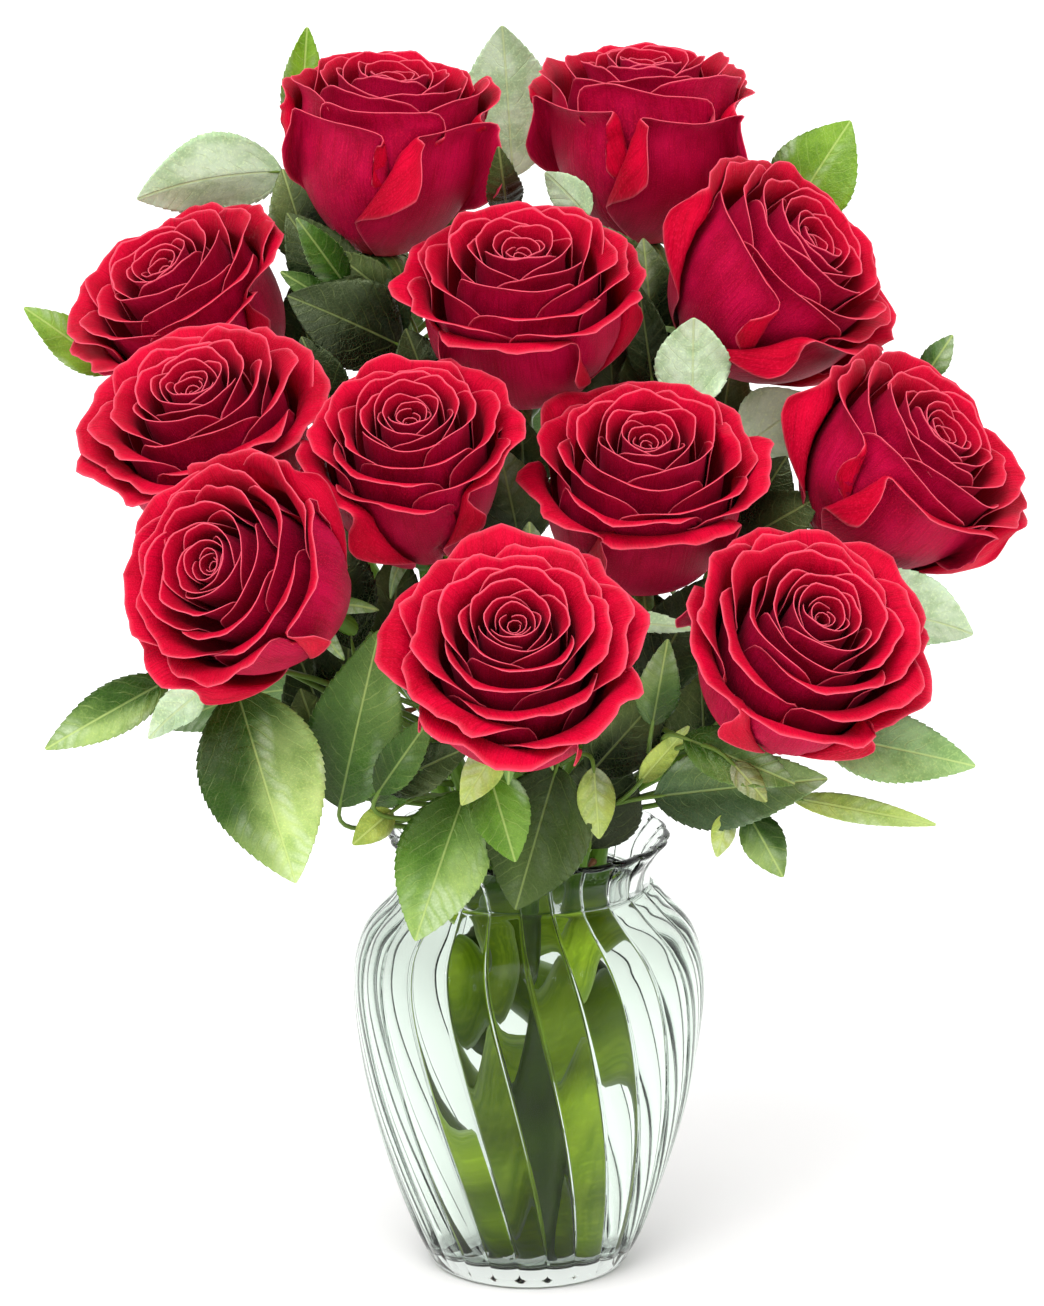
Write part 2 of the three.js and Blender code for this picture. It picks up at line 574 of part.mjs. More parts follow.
let water = waterBody();
ROSES.forEach((rose) => {
  const [foot, neck] = stemPath(rose);
  const hole = [sub(foot, mul(unit(sub(neck, foot)), 2)), neck];
  water = water.subtract(tube(hole, [STEM_R + 0.6, STEM_R + 0.6], STEM_SIDES));
});
put('water', water, COLOURS.water, 0.4);

ROSES.forEach((rose, i) => {
  const tag = String(i + 1).padStart(2, '0');
  const path = stemPath(rose);
  const leaves = LEAVES.filter((leaf) => leaf[0] === i + 1);
  const green = [stemSolid(rose), ...leaves.flatMap((leaf) => leafSolids(leaf, path))];
  put(`rose_${tag}_bloom`, fused(bloomSolids(rose)), COLOURS.petal, 1);
  put(`rose_${tag}_stem`, fused(green), COLOURS.green, 1);
});

export default group;
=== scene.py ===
"""A dozen red roses in a ribbed glass vase: the fine surfaces, materials, light and camera."""
import math

import bpy
import numpy as np
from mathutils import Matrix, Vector


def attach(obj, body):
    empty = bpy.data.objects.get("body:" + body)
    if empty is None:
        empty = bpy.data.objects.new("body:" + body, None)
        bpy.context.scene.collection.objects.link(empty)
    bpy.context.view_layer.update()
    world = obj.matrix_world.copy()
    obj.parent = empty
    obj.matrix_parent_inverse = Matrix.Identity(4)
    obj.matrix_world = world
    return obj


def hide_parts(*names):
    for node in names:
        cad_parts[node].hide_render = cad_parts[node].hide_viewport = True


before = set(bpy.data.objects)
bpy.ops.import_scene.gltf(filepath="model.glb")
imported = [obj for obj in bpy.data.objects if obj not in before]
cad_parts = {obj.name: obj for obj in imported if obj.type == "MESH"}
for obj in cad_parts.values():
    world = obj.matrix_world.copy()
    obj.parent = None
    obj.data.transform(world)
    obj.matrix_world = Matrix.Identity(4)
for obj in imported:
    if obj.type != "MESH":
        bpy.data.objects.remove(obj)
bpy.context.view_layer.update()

MM = 0.001
RAD = math.pi / 180

# ---------------------------------------------------------------- driving dimensions, in mm
# Height and radius of the vase, outside and inside, from the foot up.
VASE_OUTER = [
    (0, 36.5), (14, 43.2), (42, 53), (74, 61.2), (108, 65.2), (128, 61.6), (142, 50.4),
    (149, 45.2), (158, 46.2), (166, 52),
]
VASE_INNER = [
    (9, 31), (14, 38.6), (42, 49.6), (74, 57.8), (108, 61.8), (128, 58.2), (142, 47),
    (149, 42), (158, 42.8), (166, 48.4),
]
RIBS = 24
RIB_SWIRL = 34 * RAD      # turn of a rib between the rim and the foot
RIB_DEPTH = 1.05
CREASE_DEPTH = 0.4        # the sharp valley between two ribs
MOUTH_Z = 166
GROOVE_Z = 148.6          # the groove round the neck
GROOVE_DEPTH, GROOVE_WIDTH = 1.3, 0.6
GLASS_FLOOR = 8.5         # inside bottom of the glass
WATER_TOP = 146

STEM_R = 3.9
STEM_FOOT_Z = 9.6
NECK_Z = 150
STEM_TURN = 12            # degrees the bundle turns between the neck and the foot
STEM_DRAW = 0.62          # how far the bundle draws together at the foot
STEM_FOOT_X = 3           # the bundle's lower end leans this far to the right
# Distance back from the base of the bloom and radius, from the stem up to the petals.
CALYX = [
    (12.5, 2.95), (10.5, 3.1), (8.6, 4.0), (6.6, 5.6), (4.2, 6.7), (1.8, 6.9), (0, 6.6), (-1.6, 6.0),
]
SEPALS, SEPAL_LENGTH = 5, 26
THORNS, THORN_LENGTH = 4, 5.2

# Heart, direction faced, outer radius, height, openness, turn of the first petal in degrees,
# then the azimuth and radius of the stem in the neck.
ROSES = [
    ((-50, 45, 439), (0.09, -0.09, 0.99), 42, 64, 0.30, 315, 112, 25),
    ((43, 66, 440), (0.02, -0.04, 1.0), 45, 64, 0.40, 300, 66, 25),
    ((-134, 39, 371), (-0.46, -0.35, 0.81), 46, 58, 0.75, 200, 153, 25),
    ((-3, -12, 386), (-0.02, -0.35, 0.94), 48, 58, 0.80, 262, 88, 9),
    ((102, 7, 387), (0.65, -0.33, 0.68), 47, 62, 0.45, 40, 27, 25),
    ((-120, -41, 343), (-0.27, -0.41, 0.87), 49, 56, 0.90, 190, 191, 25),
    ((-42, -71, 339), (-0.07, -0.49, 0.87), 41, 60, 0.70, 215, 218, 15),
    ((42, -58, 327), (0.04, -0.44, 0.9), 47, 60, 0.75, 280, 326, 12),
    ((147, -39, 326), (0.61, -0.32, 0.72), 46, 60, 0.50, 20, 350, 25),
    ((-110, -118, 299), (-0.58, -0.69, 0.44), 45, 60, 0.60, 30, 232, 26),
    ((-5, -132, 280), (0.0, -0.64, 0.77), 49, 56, 1.00, 255, 268, 25),
    ((102, -110, 277), (0.33, -0.6, 0.73), 48, 58, 0.80, 220, 312, 25),
]
# Rose whose stem carries the leaf, height on that stem, base, tip, width, arch, kind.
LEAVES = [
    (1, 345, (-86, 98, 411), (-83, 94, 453), 16, 2, "bright"),
    (3, 300, (-92, 74, 402), (-146, 68, 393), 34, 5, "pale"),
    (2, 335, (-6, 90, 397), (-10, 92, 454), 36, 4, "pale"),
    (2, 330, (22, 42, 391), (6, 40, 408), 14, 1, "pale"),
    (5, 300, (96, 74, 383), (120, 80, 420), 32, 4, "bright"),
    (1, 335, (-8, 38, 393), (-11, 11, 422), 13, 2, "dark"),
    (3, 290, (-157, 78, 325), (-189, 70, 351), 17, 3, "bright"),
    (1, 290, (-47, 20, 347), (-88, 14, 367), 33, 4, "dark"),
    (1, 320, (-67, 22, 369), (-84, 6, 397), 13, 1, "green"),
    (3, 285, (-68, 22, 360), (-91, 24, 374), 10, 1, "green"),
    (5, 292, (59, -18, 332), (59, -25, 367), 27, 3, "pale"),
    (5, 300, (45, 6, 336), (40, 12, 371), 15, 2, "dark"),
    (5, 285, (78, 0, 313), (105, 4, 331), 30, 2, "pale"),
    (9, 235, (70, -23, 279), (105, -39, 305), 27, 4, "dark"),
    (9, 250, (146, 40, 330), (157, 44, 346), 10, 1, "green"),
    (9, 240, (115, -60, 266), (159, -56, 258), 37, 5, "pale"),
    (12, 200, (103, -82, 228), (158, -92, 219), 25, 4, "sage"),
    (12, 205, (55, -80, 226), (94, -94, 213), 19, 3, "green"),
    (12, 185, (45, -66, 200), (106, -84, 212), 29, 4, "grey"),
    (12, 190, (72, -92, 220), (84, -96, 207), 9, 1, "brown"),
    (12, 183, (78, -72, 196), (91, -76, 173), 15, 2, "green"),
    (12, 183, (71, -80, 198), (67, -84, 183), 8, 1, "yellow"),
    (12, 188, (94, -78, 203), (145, -84, 195), 9, 1, "yellow"),
    (10, 215, (-128, -78, 247), (-172, -84, 223), 18, 2, "green"),
    (10, 205, (-115, -84, 245), (-135, -88, 228), 14, 2, "pale"),
    (10, 195, (-104, -80, 244), (-83, -96, 177), 44, 6, "green"),
    (10, 188, (-68, -72, 198), (-53, -86, 267), 34, 4, "green"),
    (11, 190, (-54, -86, 207), (-34, -92, 238), 14, 2, "green"),
    (11, 188, (-52, -70, 205), (-21, -84, 224), 17, 2, "dark"),
    (10, 183, (-49, -74, 197), (-63, -82, 187), 11, 1, "yellow"),
    (11, 182, (-23, -66, 202), (-41, -76, 149), 33, 5, "fresh"),
    (11, 200, (-10, -96, 229), (-24, -100, 207), 13, 1, "yellow"),
    (11, 190, (-15, -86, 217), (-5, -90, 183), 21, 3, "vivid"),
    (11, 186, (10, -74, 214), (-5, -74, 160), 37, 4, "olive"),
    (11, 192, (23, -76, 214), (25, -78, 188), 13, 2, "yellow"),
    (12, 185, (40, -64, 205), (57, -72, 228), 8, 2, "yellow"),
    (12, 200, (44, -70, 228), (49, -80, 262), 15, 2, "green"),
    (7, 225, (1, -70, 275), (0, -72, 303), 16, 2, "dark"),
    (10, 225, (-63, -66, 255), (-69, -52, 299), 22, 3, "dark"),
    (12, 215, (40, -58, 235), (64, -54, 278), 27, 3, "dark"),
    (1, 300, (-48, 28, 361), (-72, 22, 382), 15, 2, "dark"),
    (12, 185, (22, -54, 205), (50, -54, 238), 24, 3, "dark"),
    (8, 235, (26, -74, 266), (58, -80, 266), 9, 2, "pale"),
    (1, 300, (-50, 85, 330), (-62, 108, 382), 28, 5, "back"),
    (2, 290, (48, 92, 320), (62, 118, 368), 30, 5, "back"),
    (3, 250, (-100, 85, 270), (-128, 112, 300), 28, 5, "back"),
    (4, 260, (-5, 60, 285), (0, 96, 318), 28, 4, "back"),
    (5, 240, (75, 70, 280), (100, 100, 312), 30, 5, "back"),
    (2, 215, (30, 62, 235), (40, 100, 222), 32, 6, "back"),
    (1, 205, (-38, 58, 222), (-52, 98, 205), 32, 6, "back"),
    (3, 200, (-75, 48, 222), (-118, 66, 212), 30, 6, "back"),
    (9, 200, (78, 30, 225), (122, 52, 222), 30, 6, "back"),
    (6, 210, (-82, -20, 228), (-132, -32, 216), 30, 6, "back"),
    (1, 340, (-65, 34, 357), (-89, 38, 393), 26, 3, "dark"),
    (1, 325, (-48, 24, 347), (-68, 30, 380), 24, 3, "dark"),
    (2, 341, (41, 46, 357), (21, 42, 389), 24, 3, "dark"),
    (4, 290, (46, 32, 343), (42, 36, 384), 22, 3, "dark"),
    (7, 253, (-3, -18, 280), (-11, -22, 319), 28, 3, "dark"),
    (3, 270, (-70, 3, 325), (-83, 8, 353), 18, 2, "dark"),
    (10, 228, (-50, -34, 244), (-47, -30, 283), 22, 2, "dark"),
    (8, 177, (41, -22, 197), (46, -16, 245), 34, 3, "dark"),
    (12, 183, (64, -36, 201), (62, -30, 249), 28, 3, "dark"),
    (10, 193, (-72, -42, 216), (-84, -46, 249), 26, 3, "dark"),
    (8, 262, (32, 14, 316), (29, 22, 352), 26, 3, "dark"),
    (4, 300, (-35, 4, 330), (-45, 8, 356), 20, 2, "dark"),
    (5, 290, (45, 12, 318), (41, 14, 352), 24, 3, "dark"),
    (4, 275, (-2, 2, 298), (-3, -6, 326), 22, 3, "dark"),
    (9, 262, (79, 6, 283), (94, 0, 310), 28, 4, "dark"),
    (10, 205, (-66, -50, 230), (-64, -46, 267), 24, 3, "dark"),
    (8, 205, (51, -14, 221), (45, -8, 261), 30, 3, "dark"),
    (11, 180, (-3, -42, 172), (-11, -48, 214), 34, 3, "dark"),
    (12, 180, (22, -40, 173), (30, -46, 216), 32, 3, "dark"),
    (10, 190, (-72, -60, 208), (-82, -62, 239), 26, 3, "dark"),
    (11, 184, (-56, -66, 197), (-36, -77, 230), 19, 3, "green"),
    (1, 330, (-81, 66, 368), (-92, 73, 403), 22, 3, "dark"),
    (3, 280, (-80, 84, 318), (-88, 90, 358), 24, 3, "dark"),
    (5, 285, (70, 44, 300), (76, 48, 338), 22, 2, "dark"),
    (1, 335, (-30, 74, 352), (-28, 78, 392), 24, 2, "dark"),
]
LEAF_FOLD = 0.22          # rise of the halves from the midrib
VEIN_STEP = 5.4           # between two side veins, along the leaf
VEIN_SLANT, VEIN_BOW = 0.82, 1.12
TOOTH_STEP = 2.9
TOWARDS, AWAY = (0, -0.94, 0.34), (0, 0.94, 0.34)
PETALS = 30               # petals of a rose, counted from the outside
OUTER_PETALS = 14         # the ones with a finer grid up their height
GOLDEN = 137.5            # degrees from one petal to the next
PETAL_BASE_Z = 1.2
LIP_AT = 0.76             # share of a petal's height where its lip starts to roll
SHOULDER = 0.34           # how far a petal's corners stay below its tip

# Upper and under side of a leaf, as seen in sRGB 0..255.
LEAF_COLOURS = {
    "bright": ((110, 150, 36), (150, 186, 84)),
    "pale": ((52, 84, 50), (198, 222, 190)),
    # The dark kind is leaf green deepened almost to black: partly the leaf's own dark green, partly
    # painted shade for leaves deep among the blooms.
    "dark": ((12, 28, 14), (42, 66, 42)),
    "green": ((48, 88, 20), (124, 156, 84)),
    "vivid": ((82, 128, 20), (124, 156, 84)),
    "grey": ((80, 110, 74), (110, 136, 100)),
    "olive": ((36, 62, 2), (100, 120, 60)),
    "fresh": ((84, 130, 40), (150, 176, 110)),
    "sage": ((126, 160, 112), (160, 186, 140)),
    "brown": ((122, 126, 62), (130, 130, 76)),
    "yellow": ((168, 184, 84), (182, 196, 112)),
    "back": ((44, 80, 34), (98, 130, 80)),
}
# How far the outer half of a leaf, by its number in LEAVES, turns to the light green; this is partly a
# lighter tone towards the tip and partly painted sheen on one half.
LEAF_LIGHT = {
    17: 0.3, 19: 0.35, 21: 0.5, 23: 0.8, 24: 0.6, 26: 1.0, 27: 0.15, 31: 0.55, 33: 0.15, 34: 0.05,
}
LIGHT_GREEN = (178, 202, 124)
STEM_COLOUR = (92, 130, 40)
# Under water the stems run from a dark to a bright green: partly their own tones, partly painted shade
# and painted light.
WET_DARK, WET_LIGHT = (36, 58, 4), (180, 210, 54)     # stems under water
CALYX_COLOUR = (70, 104, 46)
SEPAL_COLOUR = (96, 130, 62)
THORN_COLOUR = (120, 70, 48)
STALK_COLOUR = (96, 122, 52)


# ---------------------------------------------------------------- small helpers
def unit(a):
    a = np.asarray(a, float)
    return a / (np.linalg.norm(a, axis=-1, keepdims=True) + 1e-12)


def wobble(k):
    """A repeatable number between -1 and 1."""
    s = np.sin(np.asarray(k, float) * 12.9898) * 43758.5453
    return 2 * (s - np.floor(s)) - 1


def linear(rgb):
    """An sRGB colour of 0..255 as linear light."""
    c = np.asarray(rgb, float) / 255
    return tuple(np.where(c <= 0.04045, c / 12.92, ((c + 0.055) / 1.055) ** 2.4))


def cubic(p0, p1, p2, p3, s):
    """Points of the curve from p0 to p3 that p1 and p2 draw out, at shares s of its run."""
    s = np.asarray(s, float)[..., None]
    q = 1 - s
    return q**3 * p0 + 3 * q * q * s * p1 + 3 * q * s * s * p2 + s**3 * p3


def leaf_teeth(length):
    return max(8, round(length / TOOTH_STEP))


def smooth_rows(rows, steps):
    """Points on a smooth curve through the rows, steps to each stretch."""
    p = np.array([rows[0], *rows, rows[-1]], float)
    p[0], p[-1] = 2 * p[1] - p[2], 2 * p[-2] - p[-3]
    made = []
    for i in range(1, len(p) - 2):
        for s in np.arange(steps) / steps:
            made.append(
                0.5 * (2 * p[i] + (p[i + 1] - p[i - 1]) * s
                       + (2 * p[i - 1] - 5 * p[i] + 4 * p[i + 1] - p[i + 2]) * s**2
                       + (3 * p[i] - p[i - 1] - 3 * p[i + 1] + p[i + 2]) * s**3)
            )
    return np.array([*made, p[-2]])


class Skin:
    """Points, faces and named point values of one mesh under construction, in millimetres."""

    def __init__(self):
        self.points, self.faces, self.values, self.count = [], [], {}, 0

    def add(self, points, faces, **values):
        """Points and faces, with a number or a colour for all of them or for each point."""
        points = np.asarray(points, float).reshape(-1, 3)
        self.points.append(points)
        self.faces += [np.asarray(f, int) + self.count for f in faces if len(f)]
        for name, value in values.items():
            value = np.asarray(value, float)
            shape = (len(points), 3) if value.ndim and value.shape[-1] == 3 else (len(points),)
            each = value.size == np.prod(shape)
            each = value.reshape(shape) if each else np.broadcast_to(value, shape)
            self.values.setdefault(name, []).append(each)
        self.count += len(points)

    def sheet(self, grid, thick, both=None, **sides):
        """A sheet of rows by columns, thickened to both sides and closed round its edge.
        both holds values that its two sides share, and sides a pair for each other value."""
        rows, cols = grid.shape[:2]
        n = unit(np.cross(np.gradient(grid, axis=0), np.gradient(grid, axis=1)))
        half = (np.zeros((rows, cols)) + thick)[..., None] / 2
        at = np.arange(rows * cols).reshape(rows, cols)
        low = at + rows * cols
        top = np.stack([at[:-1, :-1], at[1:, :-1], at[1:, 1:], at[:-1, 1:]], -1).reshape(-1, 4)
        bottom = np.stack([low[:-1, :-1], low[:-1, 1:], low[1:, 1:], low[1:, :-1]], -1).reshape(-1, 4)
        ring = np.concatenate([at[0, :-1], at[:-1, -1], at[-1, :0:-1], at[:0:-1, 0]])
        after = np.roll(ring, -1)
        wall = np.stack([ring, after, after + rows * cols, ring + rows * cols], -1)
        values = {k: np.concatenate([np.asarray(v, float)] * 2) for k, v in (both or {}).items()}
        for k, pair in sides.items():
            coloured = np.ndim(pair[0]) in (1, 3)
            shape = (rows, cols, 3) if coloured else (rows, cols)
            values[k] = np.concatenate([np.broadcast_to(np.asarray(x, float), shape) for x in pair])
        self.add(np.concatenate([grid + n * half, grid - n * half]), [top, bottom, wall], **values)

    def tube(self, path, radii, sides, **values):
        """A round bar along a path, closed by a flat face at each end."""
        path, radii = np.asarray(path, float), np.asarray(radii, float)
        ahead = unit(np.gradient(path, axis=0))
        side = np.array((1.0, 0, 0) if abs(ahead[0][0]) < 0.8 else (0, 1.0, 0))
        a = np.arange(sides) * 2 * np.pi / sides
        rings = []
        for p, r, d in zip(path, radii, ahead):
            side = unit(side - d * (side @ d))
            other = np.cross(d, side)
            rings.append(p + r * (np.cos(a)[:, None] * side + np.sin(a)[:, None] * other))
        self.turned(np.array(rings), **values)

    def turned(self, points, **values):
        """Rings of points, rows by places round the axis, closed over the first and last ring."""
        rows, around = points.shape[:2]
        at = np.arange(rows * around).reshape(rows, around)
        after = np.roll(at, -1, axis=1)
        quads = np.stack([at[:-1], after[:-1], after[1:], at[1:]], -1).reshape(-1, 4)
        self.add(points, [quads, at[0][::-1][None], at[-1][None]], **values)

    def build(self, name, material, slot, *nodes):
        """The mesh as an object that stands for its CAD nodes."""
        mesh = bpy.data.meshes.new(name)
        points = np.concatenate(self.points) * MM
        sizes = np.concatenate([np.full(len(f), f.shape[1]) for f in self.faces])
        corners = np.concatenate([f.ravel() for f in self.faces])
        mesh.vertices.add(len(points))
        mesh.vertices.foreach_set("co", points.ravel())
        mesh.loops.add(len(corners))
        mesh.loops.foreach_set("vertex_index", corners)
        mesh.polygons.add(len(sizes))
        mesh.polygons.foreach_set("loop_start", np.cumsum(sizes) - sizes)
        mesh.update(calc_edges=True)
        mesh.validate()
        for key, parts in self.values.items():
            data = np.concatenate(parts)
            kind, field = {1: ("FLOAT", "value"), 2: ("FLOAT_VECTOR", "vector")}[data.ndim]
            mesh.attributes.new(key, kind, "POINT").data.foreach_set(field, data.ravel())
        mesh.shade_smooth()
        mesh.materials.append(material)
        piece = bpy.data.objects.new(name, mesh)
        bpy.context.scene.collection.objects.link(piece)
        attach(piece, "root")
        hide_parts(*nodes)
        return piece


# ---------------------------------------------------------------- materials
class Shader:
    """A material with its Principled shader, and short names for the nodes used here."""

    def __init__(self, name, **plain):
        self.mat = bpy.data.materials.new(name)
        self.mat.use_nodes = True
        self.tree = self.mat.node_tree
        self.main = self.tree.nodes["Principled BSDF"]
        for key, value in plain.items():
            self.main.inputs[key.replace("_", " ")].default_value = value

    def new(self, kind, inputs=(), **settings):
        node = self.tree.nodes.new(kind)
        for key, value in settings.items():
            setattr(node, key, value)
        for key, value in dict(inputs).items():
            self.put(node.inputs[key], value)
        return node

    def put(self, socket, value):
        if isinstance(value, bpy.types.NodeSocket):
            self.tree.links.new(value, socket)
        else:
            socket.default_value = value

    def value(self, name):
        return self.new("ShaderNodeAttribute", attribute_name=name).outputs["Fac"]

    def vector(self, name):
        return self.new("ShaderNodeAttribute", attribute_name=name).outputs["Vector"]

    def colour(self, name):
        return self.new("ShaderNodeAttribute", attribute_name=name).outputs["Color"]

    def maths(self, operation, a, b=0.0):
        return self.new("ShaderNodeMath", {0: a, 1: b}, operation=operation).outputs[0]

    def times(self, a, b):
        return self.maths("MULTIPLY", a, b)

    def step(self, x, low, high, a=0.0, b=1.0):
        node = self.new("ShaderNodeMapRange", {0: x, 1: low, 2: high, 3: a, 4: b},
                        interpolation_type="SMOOTHSTEP")
        return node.outputs[0]

    def blend(self, share, a, b, kind="MIX"):
        node = self.new("ShaderNodeMix", data_type="RGBA", blend_type=kind)
        self.put(node.inputs[0], share)
        for socket, value in ((node.inputs[6], a), (node.inputs[7], b)):
            self.put(socket, value if isinstance(value, bpy.types.NodeSocket) else (*value, 1))
        return node.outputs[2]

    def scaled(self, vector, x, y, z):
        node = self.new("ShaderNodeVectorMath", {0: vector, 1: (x, y, z)}, operation="MULTIPLY")
        return node.outputs[0]

    def noise(self, vector, scale, detail=2.0, rough=0.5):
        node = self.new("ShaderNodeTexNoise", {"Vector": vector, "Scale": scale, "Detail": detail,
                                               "Roughness": rough})
        return node.outputs["Fac"]

    def parts(self, vector):
        return self.new("ShaderNodeSeparateXYZ", {0: vector}).outputs

    def bump(self, height, strength, distance):
        node = self.new("ShaderNodeBump",
                        {"Height": height, "Strength": strength, "Distance": distance})
        self.put(self.main.inputs["Normal"], node.outputs[0])


def petal_material():
    """Velvet red inside, more magenta outside, with fine veins and a thin light rim that is a painted
    highlight along the petal edges.
    grain holds the place on a petal in mm, across and along, and the petal's own number; deep is how far
    down between its neighbours it lies, and there the colour is darkened as painted shade."""
    s = Shader("petal", Roughness=0.6, Specular_IOR_Level=0.16, Specular_Tint=(1.0, 0.3, 0.38, 1),
               Sheen_Weight=0.06, Sheen_Roughness=0.4, Sheen_Tint=(1.0, 0.2, 0.35, 1))
    grain = s.vector("grain")
    veins = s.noise(s.scaled(grain, 1.5, 0.09, 1.0), 1.0, 3.0, 0.6)
    cloud = s.noise(s.scaled(grain, 0.09, 0.07, 0.37), 1.0, 2.0, 0.5)
    nap = s.noise(s.scaled(grain, 2.4, 1.9, 1.0), 1.0, 1.0, 0.5)
    inner = s.blend(s.step(cloud, 0.3, 0.75), linear((200, 0, 44)), linear((168, 0, 30)))
    outer = s.blend(s.step(cloud, 0.3, 0.75), linear((182, 6, 62)), linear((148, 2, 44)))
    base = s.blend(s.value("inner"), outer, inner)
    # Painted shade: darker where the petal lies deep between its neighbours.
    base = s.blend(s.value("deep"), base, s.blend(1.0, base, (0.16, 0.32, 0.22), "MULTIPLY"))
    base = s.blend(s.step(veins, 0.42, 0.75, 0.0, 0.55), base, linear((128, 0, 20)))
    base = s.blend(s.step(nap, 0.45, 0.75, 0.0, 0.34), base, linear((232, 24, 70)))
    base = s.blend(s.times(s.value("foot"), 0.6), base, linear((150, 60, 40)))
    # Painted highlight: a thin light pink line along each petal's edge, where its curl catches the light.
    base = s.blend(s.times(s.value("rim"), 0.85), base, linear((242, 104, 124)))
    s.put(s.main.inputs["Base Color"], base)
    s.bump(s.maths("ADD", veins, s.times(nap, 0.5)), 0.7, 0.0005)
    return s.mat


def leaf_material():
    """Waxy upper side, with whitish patches of painted sheen, and matt under side with a light midrib and
    side veins; stems share it.
    blade holds the distance from the midrib and along it in mm, and the leaf's number; hue its
    colour; vein is 1 on a blade and 0 on stems; under is 1 on the under side."""
    s = Shader("leaf", Specular_IOR_Level=0.35, Specular_Tint=(0.75, 0.85, 0.5, 1))
    blade, hue, on_blade = s.vector("blade"), s.colour("hue"), s.value("vein")
    green = s.new("ShaderNodeSeparateColor", {0: hue}).outputs[1]
    cloud = s.noise(s.scaled(blade, 0.12, 0.08, 1.7), 1.0, 3.0, 0.55)
    fine = s.noise(s.scaled(blade, 1.3, 1.3, 1.7), 1.0, 2.0)
    warp = s.noise(s.scaled(blade, 0.16, 0.16, 2.3), 1.0, 1.0)

    # Side veins slant up from the midrib, and a fine net lies between them.
    x, y, _ = s.parts(blade)
    aside = s.maths("ABSOLUTE", x)
    lift = s.maths("SUBTRACT", y, s.times(s.maths("POWER", aside, VEIN_BOW), VEIN_SLANT))
    run = s.maths("ADD", s.maths("DIVIDE", lift, VEIN_STEP), s.times(warp, 0.9))
    off = s.maths("PINGPONG", run, 0.5)
    midrib = s.step(aside, 0.2, 0.6, 1.0, 0.0)
    side_vein = s.times(s.step(off, 0.0, 0.085, 1.0, 0.0), s.step(warp, 0.35, 0.65, 0.12, 0.5))
    net = s.new("ShaderNodeTexVoronoi", {"Vector": s.scaled(blade, 1.0, 1.0, 3.0), "Scale": 0.75},
                feature="DISTANCE_TO_EDGE").outputs["Distance"]
    net = s.times(s.step(net, 0.0, 0.09, 1.0, 0.0), 0.16)
    veins = s.maths("MAXIMUM", s.maths("MAXIMUM", midrib, side_vein), net)
    veins = s.times(veins, on_blade)

    # Painted sheen: whitish patches on the puffed panels, where light would catch them, less of it on a
    # darker leaf.
    painted_sheen = s.noise(s.scaled(blade, 0.09, 0.035, 2.9), 1.0, 1.5, 0.5)
    painted_sheen = s.times(s.step(painted_sheen, 0.5, 0.68, 0.0, 0.58), s.step(off, 0.02, 0.34, 0.3, 1.0))
    painted_sheen = s.times(painted_sheen, s.step(green, 0.04, 0.2, 0.06, 1.0))
    painted_sheen = s.times(painted_sheen, s.times(on_blade, s.step(fine, 0.3, 0.7, 0.6, 1.0)))

    shaded = s.blend(1.0, hue, (0.5, 0.62, 0.42), "MULTIPLY")
    speck = s.blend(1.0, hue, (1.5, 1.4, 1.1), "MULTIPLY")
    vein_colour = s.blend(s.step(green, 0.03, 0.2, 0.25, 0.6), hue, linear((184, 204, 120)))
    base = s.blend(s.step(cloud, 0.35, 0.65, 0.0, 0.75), hue, shaded)
    base = s.blend(s.step(fine, 0.45, 0.8, 0.0, 0.45), base, speck)
    # The painted sheen lays its whitish patches over the colour.
    base = s.blend(painted_sheen, base, s.blend(0.7, hue, linear((206, 220, 196))))
    base = s.blend(s.times(veins, 0.75), base, vein_colour)
    s.put(s.main.inputs["Base Color"], base)
    rough = s.maths("ADD", s.times(s.value("under"), 0.22), s.step(cloud, 0.2, 0.8, 0.2, 0.36))
    s.put(s.main.inputs["Roughness"], rough)
    s.bump(s.maths("SUBTRACT", s.times(fine, 0.35), veins), 0.6, 0.0004)
    return s.mat


def clear_material(name, ior, colour):
    """Clear glass or water, with its mirror reflections held back by a dark tint."""
    s = Shader(name, Roughness=0.0, IOR=ior, Transmission_Weight=1.0, Base_Color=(*colour, 1),
               Specular_Tint=(0.12, 0.12, 0.12, 1))
    return s.mat


PETAL = petal_material()
LEAF = leaf_material()
GLASS = clear_material("glass", 1.47, (0.82, 0.875, 0.835))
WATER = clear_material("water", 1.33, (0.985, 0.995, 0.988))


# ---------------------------------------------------------------- vase and water
def around(rows, steps, swirl=0.0, lobes=None):
    """Rings round the axis through (z, r) rows. swirl turns them more towards the foot, and lobes
    gives the extra radius by height and place."""
    a = np.asarray(steps)
    made = []
    for z, r in rows:
        turn = a + swirl * (1 - z / MOUTH_Z)
        out = r + (lobes(z, a) if lobes else 0)
        made.append(np.stack([out * np.cos(turn), out * np.sin(turn), z + 0 * a], -1))
    return np.array(made)


def lobe(z, a):
    """Convex ribs that meet in a sharp crease, fading out at the foot, and the groove at the neck."""
    w = (a * RIBS / (2 * np.pi) + 0.5) % 1 - 0.5
    depth = RIB_DEPTH * np.clip((z - 2) / 14, 0, 1) * (1 - 0.2 * np.clip((z - 144) / 8, 0, 1))
    crease = CREASE_DEPTH * np.exp(-(((0.5 - np.abs(w)) / 0.022) ** 2)) * np.clip((z - 12) / 20, 0, 1)
    groove = GROOVE_DEPTH * np.exp(-(((z - GROOVE_Z) / GROOVE_WIDTH) ** 2))
    return depth * (0.62 - (2 * w) ** 2) - crease - groove


